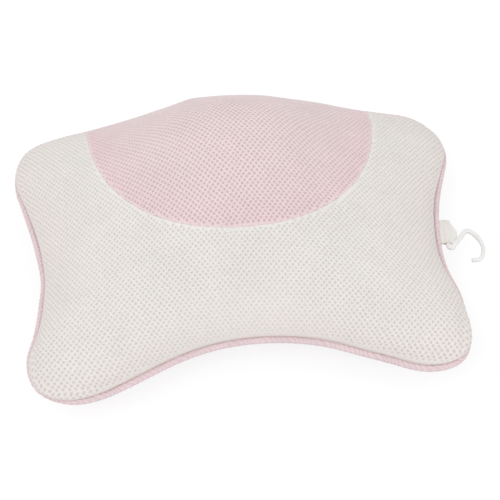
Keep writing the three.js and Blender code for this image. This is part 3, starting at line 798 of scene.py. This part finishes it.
def waves(material, place, scale, distortion, direction="DIAGONAL", more=()):
    """Parallel ribs from 0 to 1."""
    sockets = {"Vector": place, "Scale": scale, "Distortion": distortion, **dict(more)}
    return add_node(material, "TexWave", sockets, bands_direction=direction).outputs["Fac"]


def remap(material, value, low, high, start=0.0, end=1.0):
    """Takes values from start to end over to low to high."""
    sockets = {"Value": value, "From Min": start, "From Max": end, "To Min": low, "To Max": high}
    return add_node(material, "MapRange", sockets).outputs[0]


def srgb(red, green, blue):
    """A colour as a screen shows it, 0 to 255, as the shader wants it."""
    return tuple((c / 255 / 12.92) if c < 10.3 else ((c / 255 + 0.055) / 1.055) ** 2.4
                 for c in (red, green, blue))


def tint(material, share, low, high):
    """A colour between two, each given as a colour or as another node's output."""
    low, high = (c if isinstance(c, bpy.types.NodeSocket) else (*c, 1) for c in (low, high))
    return add_node(material, "Mix", {0: share, 6: low, 7: high}, data_type="RGBA").outputs[2]


def scaled(material, tone, share):
    """A colour made darker or lighter by a share."""
    return add_node(material, "VectorMath", {0: tone, "Scale": share}, operation="SCALE").outputs[0]


def relief(material, height, strength, distance):
    """A fine relief, as a normal."""
    sockets = {"Height": height, "Strength": strength, "Distance": distance}
    return add_node(material, "Bump", sockets).outputs[0]


def coat(material, tone, normal, rough, more=()):
    """Ends a material with one surface of this colour, relief and roughness."""
    sockets = {"Base Color": tone, "Normal": normal, "Roughness": rough, **dict(more)}
    shader = add_node(material, "BsdfPrincipled", sockets).outputs[0]
    add_node(material, "OutputMaterial", {"Surface": shader})
    return material


print("a screen's middle grey is", round(srgb(128, 128, 128)[0], 3), "to the shader")

# %% [markdown]
# Mesh yarn
#
# The mesh takes one finish in three colours. The yarn is matt with a slight sheen, paler on the
# webs and darker in the holes, partly where the lower layer shows and partly as painted shade in
# the holes. Near the seams the lower layer is pink, so the holes blush there. Fine ribs along the
# rows and an uneven tone keep it from looking moulded.

# %% Yarn finish
WEB_BLUSH = 0.25  # how much of the holes' blush the webs take


def yarn(name, web, hole, blush, near_seam, near_rim):
    """Matt knitted yarn; hole is the holes' darker colour, partly painted shade, and blush is the hole's
    colour near a seam, by the given shares.
    """
    material = new_material(name)
    pit, seam, rim = (painted(material, label) for label in ("pit", "seam", "rim"))
    place = object_place(material)
    patches = noise(material, place, 34.0, 3.0)
    fibres = noise(material, place, 900.0, 4.0, {"Roughness": 0.7})
    at_seam = calc(material, "MULTIPLY", seam, near_seam)
    at_rim = calc(material, "MULTIPLY", calc(material, "MULTIPLY", rim, near_rim), patches)
    share = calc(material, "ADD", at_seam, at_rim, use_clamp=True)
    web_tone = tint(material, calc(material, "MULTIPLY", share, WEB_BLUSH), web, blush)
    # Towards each hole's floor the colour goes to the darker hole colour: painted shade in the hole, on top
    # of the lower layer's tone
    tone = tint(material, pit, web_tone, tint(material, share, hole, blush))
    uneven = calc(material, "MULTIPLY", remap(material, patches, 0.965, 1.02, 0.25, 0.75),
                  remap(material, fibres, 0.94, 1.04, 0.25, 0.75))
    thread = add_node(material, "UVMap", uv_map="weave").outputs["UV"]
    ribs = waves(material, thread, 420.0, 1.2, more={"Detail": 2.0, "Detail Scale": 2.0})
    fuzz = relief(material, calc(material, "ADD", ribs, fibres), 0.35, 0.0002)
    return coat(material, scaled(material, tone, uneven), fuzz, remap(material, fibres, 0.78, 0.95),
                {"Sheen Weight": 0.2, "Sheen Roughness": 0.5, "Specular IOR Level": 0.25})


# Web, hole and blush colours; the hole colour is darker partly as painted shade
ivory_yarn = yarn("ivory_yarn", srgb(238, 234, 229), srgb(224, 218, 212), srgb(220, 188, 186), 0.0, 0.9)
pink_yarn = yarn("pink_yarn", srgb(238, 221, 221), srgb(219, 195, 196), srgb(224, 184, 192), 0.8, 0.0)
rose_yarn = yarn("rose_yarn", srgb(231, 208, 212), srgb(198, 158, 166), srgb(198, 150, 160), 0.3, 0.3)
print("yarns:", ivory_yarn.name, pink_yarn.name, rose_yarn.name)

# %% Front, inset and back panels
front_cover = knit("front_cover", front, math.radians(-2.5), -1, taut=0.35)
head_inset = knit("head_inset", front, math.radians(2.0), 1, at_rim=(1.2, 6.0), at_seam=(0.8, 2.8))
back_cover = knit("back_cover", rear, math.radians(1.0), 0, scale=1.25)
for piece, node, cloth, slot in ((front_cover, "front_panel", ivory_yarn, "ivory_mesh"),
                                 (head_inset, "head_inset_panel", pink_yarn, "pink_mesh"),
                                 (back_cover, "back_panel", rose_yarn, "pink_backing")):
    piece.data.materials.append(cloth)
    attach(piece, "cover")
    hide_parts(node)

# %% [markdown]
# The filling
#
# Inside the cover is loose white fibre. It can't be seen, but a buyer of the part may open the
# cover, so it gets a plain soft form that stops short of the cloth and of the cups' knobs.

# %% Fibre filling
FILLING_FLOOR = 24.0

fibre = new_material("white_fibre")
tufts = noise(fibre, object_place(fibre), 120.0, 8.0, {"Roughness": 0.7})
coat(fibre, tint(fibre, tufts, srgb(232, 231, 227), srgb(250, 250, 248)),
     relief(fibre, tufts, 0.7, 0.002), 1.0, {"Sheen Weight": 0.4})

points, faces = cushion_form(FILLING_FLOOR)
filling = make_piece("fibre_filling", to_frame(points), faces)
filling.data.materials.append(fibre)
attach(filling, "cover")
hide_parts("base_pad", "head_bolster")
print("filling points", len(points))

# %% [markdown]
# Piping
#
# A bias strip of fine pink mesh is folded round a cord and sewn between the two covers. A tube is
# swept round the seam. Its surface gets the slanting puckers of a strip that is bent round a cord,
# and the small holes of the knit, both at their real size on every bend. Its colour is darker in
# the puckers' valleys and in the holes: painted shade.

# %% Sweep the piping
PIPING_RADIUS, BEAD_OUT, PIPING_Z = 2.45, 2.6, SEAM_Z + 0.5
FLANGE = 3.0  # how far the strip's edge runs in under the cover
WANDER, WANDERS, WANDER_OUT, WANDER_UP = 0.2, 23, 0.5, 0.6  # a hand-fed seam isn't perfectly even
# The last number on each of the next two lines is painted shade: how much darker the puckers' valleys and
# the knit's holes are coloured
PUCKERS, PUCKER_DEPTH, PUCKER_SHADE = 288, 0.16, 0.3
STRIP_HOLES, STRIP_SLANT, STRIP_HOLE_DEPTH, STRIP_HOLE_SHADE = 576, 6, 0.2, 0.75
STRIP_HOLE_EDGE, FLANGE_EDGE = (0.45, 0.9), (0.9, 1.0)
DRIFTS = ((0.35, 31, 0), (0.25, 53, 1))  # uneven puckers: how far, how often, start


def whole_turn(count):
    """Evenly spaced angles all round."""
    return np.arange(count) / count * 2 * math.pi


def seam_frame(line):
    """Outward directions of a closed plan outline."""
    ahead = np.roll(line, -1, 0) - np.roll(line, 1, 0)
    ahead /= np.linalg.norm(ahead, axis=1, keepdims=True)
    return np.stack([ahead[:, 1], -ahead[:, 0]], 1)


def seam_tube(name, radius, flange=0.0):
    """A closed tube round the seam, from a radius for each station and each point round it."""
    along, around = radius.shape
    line, _ = seam_outline(along)
    turn = whole_turn(around)
    wander = WANDER * np.sin(whole_turn(along)[:, None] * WANDERS)
    offset = BEAD_OUT + WANDER_OUT * wander + radius * np.cos(turn)
    offset = offset - flange * ease(-np.cos(turn), *FLANGE_EDGE)
    height = PIPING_Z + WANDER_UP * wander + radius * np.sin(turn)
    plan = line[:, None, :] + seam_frame(line)[:, None, :] * offset[..., None]
    points = np.concatenate([plan, height[..., None]], -1).reshape(-1, 3)
    return make_piece(name, to_frame(points), grid_faces(along, around, closed_rows=True))


def sweep_piping(along=2880, around=18):
    """The strip: slanting puckers where it is bent round the cord, and the small holes of its knit, with
    painted shade in the puckers' valleys and in the holes.
    """
    place = np.arange(along)[:, None] / along
    twist = np.arange(around)[None, :] / around
    drift = sum(far * np.sin(2 * math.pi * often * place + start) for far, often, start in DRIFTS)
    pucker = np.sin(2 * math.pi * (place * PUCKERS + 2 * twist + drift))
    one_way, other_way = (np.cos(math.pi * (place * STRIP_HOLES + slant * twist))
                          for slant in (STRIP_SLANT, -STRIP_SLANT))
    hole = ease(np.abs(one_way * other_way), *STRIP_HOLE_EDGE)
    radius = PIPING_RADIUS - PUCKER_DEPTH + PUCKER_DEPTH * pucker - STRIP_HOLE_DEPTH * hole
    piece = seam_tube("piping", radius, FLANGE)
    # The stored tone is painted shade: darker in the holes and in the puckers' valleys
    paint(piece, "knit", np.clip(STRIP_HOLE_SHADE * hole + PUCKER_SHADE * (1 - pucker) / 2, 0, 1))
    return piece


piping = sweep_piping()
print("piping points", len(piping.data.vertices))

# %% Piping yarn
strip = new_material("piping_yarn")
place = object_place(strip)
specks, patches = noise(strip, place, 700.0, 4.0, {"Roughness": 0.7}), noise(strip, place, 60.0, 2.0)
# Darker where the stored tone is high: painted shade in the holes and the puckers' valleys
tone = tint(strip, painted(strip, "knit"), srgb(236, 219, 221), srgb(209, 175, 179))
coat(strip, scaled(strip, tone, remap(strip, patches, 0.95, 1.03, 0.3, 0.7)),
     relief(strip, specks, 0.4, 0.0003), remap(strip, specks, 0.75, 0.95), {"Sheen Weight": 0.2})
piping.data.materials.append(strip)
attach(piping, "cover")
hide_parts("edge_piping")
print("piping triangles", 2 * len(piping.data.polygons))

# %% [markdown]
# Stitches along the piping
#
# Thread shows as small pale pink dashes in the groove between cover and piping, on both faces.
# One dash is modelled as a short rounded rod and copied along the seam into a single mesh.

# %% A rod along a path
def rod(path, radius, sides=8, ends=((0.4, 0.8), (0.75, 0.45))):
    """Points and faces of a rod along a path.

    radius is one value, or one for each point; ends gives how far and how narrow it closes.
    """
    path = np.asarray(path, float)
    ahead = np.gradient(path, axis=0)
    ahead /= np.linalg.norm(ahead, axis=1, keepdims=True)
    stations = list(zip(path, ahead, np.broadcast_to(radius, len(path))))
    (first, lead, thick), (last, trail, thin) = stations[0], stations[-1]
    for beyond, narrow in ends:
        stations.insert(0, (first - lead * thick * beyond, lead, thick * narrow))
        stations.append((last + trail * thin * beyond, trail, thin * narrow))
    circle = polar(1, whole_turn(sides))
    side = np.cross(ahead[0], [0, 0, 1.0])
    rings = []
    for spot, way, size in stations:
        side = side - way * (side @ way)
        side /= np.linalg.norm(side)
        rings.append(spot + size * (circle[:, :1] * side + circle[:, 1:] * np.cross(way, side)))
    faces = grid_faces(len(rings), sides)
    faces += [tuple(range(sides))[::-1], tuple((len(rings) - 1) * sides + k for k in range(sides))]
    return np.concatenate(rings), faces


print("a short rod has", len(rod([(0, 0, 0), (1, 0, 0), (2, 0, 0)], 0.5)[0]), "points")

# %% Sew the seam
STITCH_GAP, STITCH_LENGTH, STITCH_BOW, THREAD = 3.7, 2.3, 0.12, 0.42
STITCH_UP, STITCH_OUT = 1.85, 0.9  # where the groove is, from the middle of the seam

spots, _ = seam_outline(int(seam_length / STITCH_GAP))
all_points, all_faces = [], []
for spot, out in zip(spots, seam_frame(spots)):
    along = np.array([-out[1], out[0]])
    for height in (PIPING_Z + STITCH_UP, PIPING_Z - STITCH_UP):
        middle = np.array([*(spot + out * STITCH_OUT), height])
        steps = [[*(along * t * STITCH_LENGTH / 2), -STITCH_BOW * t * t] for t in (-1, 0, 1)]
        points, faces = rod(middle + np.array(steps), THREAD, sides=6)
        start = len(all_points) * len(points)
        all_points.append(points)
        all_faces += [tuple(start + v for v in f) for f in faces]
stitches = make_piece("seam_stitches", to_frame(np.concatenate(all_points)), all_faces)

thread = new_material("pink_thread")
twist = waves(thread, object_place(thread), 500.0, 2.0)
coat(thread, tint(thread, twist, srgb(226, 198, 200), srgb(238, 219, 220)),
     relief(thread, twist, 0.4, 0.0002), 0.75)
stitches.data.materials.append(thread)
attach(stitches, "cover")
print("stitches", 2 * len(spots))

# %% [markdown]
# Ribbon loop
#
# A short length of ivory ribbon is folded and sewn into the side seam. It holds the hook's leg, so
# it swells over it and closes again towards the fold, which is drawn in at both ends. The strip is
# modelled as two skins a ribbon's thickness apart.

# %% Ribbon's line
TAB_WIDTH, TAB_DEPTH, RIBBON, TAB_ACROSS = 25.0, 12.5, 0.8, 30
DRAW, DRAW_HEAD, DRAW_NECK = 4.8, 13.5, 8.0  # how far the fold is drawn in, and over which lengths
FLATTER, FLATTER_FROM = 0.5, 5.0  # the loop lies flatter towards the head
FOLD_RADIUS = 0.95
ROD_DIAMETER, CLEARANCE = 3.4, 0.3
SEWN_IN, SEWN_UP = 3.6, 0.45  # how far the ends run into the seam, and their height there
OPENS, CLOSES = (1.2, 1.2), (3.6, 0.9)  # a place past the seam, and past the leg, with its height
flex, swing = ([j for j in frame["joints"] if j["name"] == name][0] for name in ("tab_flex", "hook_swing"))
root = np.array(flex["pos_m"]) * 1000
along_seam = -np.array(flex["axis"])
outward_tab = np.cross(along_seam, [0, 0, 1.0])
LEG_OUT = float((np.array(swing["pos_m"]) * 1000 - root) @ outward_tab)
FOLD_OUT = TAB_DEPTH - FOLD_RADIUS - RIBBON


def beside(points):
    """From distances out from the ribbon's root, along the seam and up to metres in the frame."""
    points = np.asarray(points, float)
    place = root + outward_tab * points[:, :1] + along_seam * points[:, 1:2]
    place[:, 2] += points[:, 2]
    return place / 1000


def run_along(line):
    """Distance of each point of a line from its first."""
    return np.concatenate([[0], np.cumsum(np.linalg.norm(np.diff(line, axis=0), axis=1))])


def ribbon_line(steps=36):
    """Middle line of the ribbon's section: out along the bottom, round the fold and back on top."""
    leg = ROD_DIAMETER / 2 + CLEARANCE + RIBBON / 2
    fold = FOLD_RADIUS - RIBBON / 2
    knots = np.array([-SEWN_IN, 0.0, OPENS[0], LEG_OUT, LEG_OUT + CLOSES[0], FOLD_OUT])
    heights = np.array([SEWN_UP, SEWN_UP, OPENS[1], leg, CLOSES[1], fold])
    out = np.linspace(knots[0], FOLD_OUT, steps)
    slopes = np.gradient(heights, knots)
    k = np.clip(np.searchsorted(knots, out) - 1, 0, len(knots) - 2)
    width = knots[k + 1] - knots[k]
    t = (out - knots[k]) / width
    up = ((2 * t**3 - 3 * t**2 + 1) * heights[k] + (t**3 - 2 * t**2 + t) * width * slopes[k]
          + (-2 * t**3 + 3 * t**2) * heights[k + 1] + (t**3 - t**2) * width * slopes[k + 1])
    fold_arc = polar(fold, np.linspace(-QUARTER, QUARTER, 9)[1:-1]) + [FOLD_OUT, 0]
    return np.concatenate([np.stack([out, -up], 1), fold_arc, np.stack([out, up], 1)[::-1]])


line = ribbon_line()
ribbon_run = run_along(line)
print("ribbon", TAB_WIDTH, "mm wide,", round(ribbon_run[-1], 1), "mm long")

# %% Ribbon
ahead = np.gradient(line, axis=0)
ahead /= np.linalg.norm(ahead, axis=1, keepdims=True)
normal = np.stack([ahead[:, 1], -ahead[:, 0]], 1)
half = TAB_WIDTH / 2
width = np.linspace(-half, half, TAB_ACROSS)
draw = DRAW * (ease(width, half - DRAW_HEAD, half) + ease(-width, half - DRAW_NECK, half))
flatter = 1 - FLATTER * ease(width, FLATTER_FROM, half)
skins = []
for offset in (RIBBON / 2, -RIBBON / 2):
    skin = line + normal * offset
    share = np.clip((skin[:, :1] - LEG_OUT) / (FOLD_OUT - LEG_OUT), 0, 1)
    grid = np.stack([skin[:, :1] - share * draw, width + 0 * share, skin[:, 1:] * flatter], -1)
    skins.append(grid.reshape(-1, 3))
rows, size = len(line), len(line) * TAB_ACROSS
faces = grid_faces(rows, TAB_ACROSS, closed_columns=False)
faces += [tuple(size + v for v in f[::-1]) for f in faces]
first_row = list(range(TAB_ACROSS))
last_row = [size - TAB_ACROSS + j for j in first_row]
first_side = [i * TAB_ACROSS for i in range(rows)]
last_side = [v + TAB_ACROSS - 1 for v in first_side]
for border in (first_side, last_side[::-1], first_row[::-1], last_row):
    faces += [(a, b, size + b, size + a) for a, b in zip(border, border[1:])]
ribbon = make_piece("ribbon_loop", beside(np.concatenate(skins)), faces)
flat = np.stack([np.repeat(ribbon_run, TAB_ACROSS), np.tile(width + half, rows)], 1)
weave_map(ribbon, np.concatenate([flat, flat]))
print("ribbon faces", len(faces))

# %% Ribbon weave
satin = new_material("ivory_ribbon")
thread_map = add_node(satin, "UVMap", uv_map="weave").outputs["UV"]
ribs, fine = waves(satin, thread_map, 320.0, 0.4, "X"), noise(satin, thread_map, 900.0, 3.0)
coat(satin, tint(satin, ribs, srgb(228, 224, 217), srgb(239, 236, 230)),
     relief(satin, calc(satin, "ADD", ribs, fine), 0.35, 0.0003), remap(satin, fine, 0.5, 0.75),
     {"Sheen Weight": 0.15})
ribbon.data.materials.append(satin)
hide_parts("hook_tab")
tuple(beside([(-0.9, 0, 0)])[0])
tuple(beside([(0.9, 0, 0)])[0])
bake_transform(ribbon)

# %% [markdown]
# Hook
#
# The hook is moulded from milky plastic in one round rod: a straight leg in the ribbon, a tight
# curl, a shank that climbs and a wide bow that ends in a blunt tip. The middle line is drawn as
# runs and bends, like bending wire, and a rod is swept along it.

# %% Bend the hook
LEG_START, TIP = 4.0, (0.15, 0.86)
HOOK_MOVES = ((19.2,), (2.1, 145.5), (19.2,), (3.8, -96), (23.5, -71), (6.4, -71.5), (2.7,))
BOW_LENGTH, BOW_SWELL, SWELL_IN, SWELL_OUT = 45.0, 0.35, (-18, -6), (8, 24)  # thicker as the bow begins


def bend_line(start, heading, moves, step=0.5):
    """Points along runs, given as (length,), and bends, given as (radius, degrees)."""
    points = [np.array(start, float)]
    for move in moves:
        turn = math.radians(move[1]) if len(move) > 1 else 0.0
        pieces = max(6, int(abs(turn) * move[0] / step)) if turn else max(1, int(move[0] / step))
        chord = 2 * move[0] * math.sin(abs(turn) / pieces / 2) if turn else move[0] / pieces
        for _ in range(pieces):
            heading += turn / pieces / 2
            points.append(points[-1] + chord * np.array([math.cos(heading), math.sin(heading)]))
            heading += turn / pieces / 2
    return np.array(points)


hook_line = bend_line((LEG_OUT, LEG_START), -QUARTER, HOOK_MOVES)
hook_path = np.concatenate([hook_line, np.zeros((len(hook_line), 1))], 1)
run = run_along(hook_line)
past_bow = run - (run[-1] - BOW_LENGTH)
thickness = ROD_DIAMETER / 2 + BOW_SWELL * (ease(past_bow, *SWELL_IN) - ease(past_bow, *SWELL_OUT))
points, faces = rod(hook_path, thickness, sides=20, ends=(TIP,))
hook = make_piece("hook", beside(points), faces)
print("hook line", round(float(run[-1]), 1), "mm")

# %% Milky plastic
milky = new_material("milky_plastic")
place = object_place(milky)
haze, grain = noise(milky, place, 90.0, 3.0), noise(milky, place, 1200.0, 2.0)
coat(milky, tint(milky, haze, srgb(229, 227, 225), srgb(241, 239, 237)), relief(milky, grain, 0.08, 0.0002),
     remap(milky, haze, 0.28, 0.45),
     {"Subsurface Weight": 0.35, "Subsurface Scale": 0.002, "Subsurface Radius": (1.0, 0.95, 0.9)})
hook.data.materials.append(milky)
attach(hook, "hook")
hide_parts("hang_hook")
print("hook in", milky.name)

# %% [markdown]
# Suction cups and eyelets
#
# Each cup is soft clear vinyl: a bell with a thin flat rim, a shoulder and a knob that snaps
# through an eyelet in the back cover. All are round, so each is a profile turned about its axis,
# with a few more points at the edges than the solid has, so that they catch the light.

# %% Turn a profile
def turned(name, profile, spot, sides=56):
    """A piece turned about an upright axis at spot, from radius and height in millimetres."""
    profile = np.array(profile, float)
    closed = bool(np.allclose(profile[0], profile[-1]))
    inner = profile[:-1] if closed else profile[1:-1]
    turn = whole_turn(sides)
    points = np.concatenate([np.column_stack([polar(r, turn), np.full(sides, h)]) for r, h in inner])
    faces = grid_faces(len(inner), sides, closed_rows=closed)
    if not closed:
        low, high, last = len(points), len(points) + 1, (len(inner) - 1) * sides
        points = np.concatenate([points, [[0, 0, profile[0][1]], [0, 0, profile[-1][1]]]])
        for j in range(sides):
            k = (j + 1) % sides
            faces += [(low, k, j), (high, last + j, last + k)]
    return make_piece(name, points / 1000 + np.array(spot), faces)


def curve(a, b, c, steps):
    """Points on a smooth curve from a to c that leans towards b."""
    t = np.linspace(0, 1, steps)[:, None]
    return ((1 - t) ** 2 * np.array(a) + 2 * t * (1 - t) * np.array(b) + t**2 * np.array(c)).tolist()


# Radius and height, from the middle of the bell's hollow round its rim and up to the knob
cup_profile = (curve((0, 6.5), (10.2, 6.5), (20.5, 0.0), 14)
               + [(22.2, 0.0), (23.6, 0.0), (23.95, 0.2), (24.0, 0.5), (23.85, 0.85), (23.4, 1.1)]
               + curve((23.0, 1.2), (15.4, 8.6), (7.4, 8.75), 12)
               + [(6.95, 8.85), (6.8, 9.2), (6.8, 10.5), (6.6, 10.9), (6.2, 11.0), (2.7, 11.0),
                  (2.5, 11.3), (2.5, 18.0), (2.6, 18.2), (4.1, 18.2), (4.3, 18.4), (4.3, 19.2)]
               + curve((4.25, 19.4), (3.4, 22.4), (1.6, 22.55), 6) + [(0, 22.6)])
eyelet_profile = [(2.86, 11.5), (3.1, 11.32), (6.1, 11.3), (6.45, 11.5), (6.5, 11.8), (6.4, 12.15),
                  (6.1, 12.3), (3.7, 12.3), (3.7, 17.2), (4.7, 17.2), (4.8, 17.5), (4.6, 17.85),
                  (4.2, 17.9), (3.0, 17.9), (2.86, 17.7), (2.86, 11.5)]
print("points on the profiles:", len(cup_profile), "and", len(eyelet_profile))

# %% Vinyl and moulded plastic
vinyl = new_material("clear_vinyl")
flow = noise(vinyl, object_place(vinyl), 60.0, 2.0, {"Distortion": 0.6})
coat(vinyl, tint(vinyl, flow, srgb(236, 242, 243), srgb(250, 252, 252)), relief(vinyl, flow, 0.15, 0.001),
     remap(vinyl, flow, 0.06, 0.2), {"Transmission Weight": 0.55, "IOR": 1.42})

moulded = new_material("white_moulding")
place = object_place(moulded)
grain, drift = noise(moulded, place, 1500.0, 2.0), noise(moulded, place, 120.0, 2.0)
coat(moulded, tint(moulded, drift, srgb(226, 226, 222), srgb(240, 240, 237)),
     relief(moulded, grain, 0.1, 0.0002), remap(moulded, drift, 0.3, 0.5))
print("plastics:", vinyl.name, moulded.name)

# %% Six cups and their eyelets
for number, name in enumerate(CUPS, 1):
    low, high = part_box(name)
    spot = ((low.x + high.x) / 2, (low.y + high.y) / 2, 0.0)
    cup = turned(f"cup_{number}_bell", cup_profile, spot)
    cup.data.materials.append(vinyl)
    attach(cup, f"cup_{number}")
    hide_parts(name)
    ring = turned(f"cup_{number}_eyelet", eyelet_profile, spot)
    ring.data.materials.append(moulded)
    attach(ring, "cover")
    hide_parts(f"eyelet_{number}")
    washer = frame["nodes"][f"eyelet_washer_{number}"]
    washer.data.materials.clear()
    washer.data.materials.append(moulded)
print("cups and eyelets:", len(CUPS), "of each")

# %% [markdown]
# The cord in the piping
#
# The cord lies hidden inside the piping and bends with it. It is laid from three cotton strands,
# in case someone looks at the parts one by one, and it follows the same seam as the strip.

# %% Lay the cord
CORD_RADIUS, STRANDS, STRAND_DEPTH, TWIST_LENGTH = 1.5, 3, 0.3, 14.0


def sweep_cord(along=1440, around=18):
    """A tube round the seam with the grooves between its strands."""
    place = np.arange(along)[:, None] / along * round(seam_length / TWIST_LENGTH)
    groove = np.abs(np.sin(math.pi * (STRANDS * np.arange(around) / around + place)))
    return seam_tube("core_cord", CORD_RADIUS - STRAND_DEPTH * (1 - groove))


core_cord = sweep_cord()
cotton = new_material("cotton_cord")
twist = waves(cotton, object_place(cotton), 180.0, 1.0)
coat(cotton, tint(cotton, twist, srgb(222, 217, 208), srgb(244, 241, 235)),
     relief(cotton, twist, 0.5, 0.0004), 0.95)
core_cord.data.materials.append(cotton)
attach(core_cord, "cover")
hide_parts("piping_cord")
print("cord triangles", 2 * len(core_cord.data.polygons))

# %% [markdown]
#
# The box round everything that is shown, floor left out, is measured. The looks may stand a
# little proud of the solids, no more.

# %% Measure the box
low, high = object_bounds()
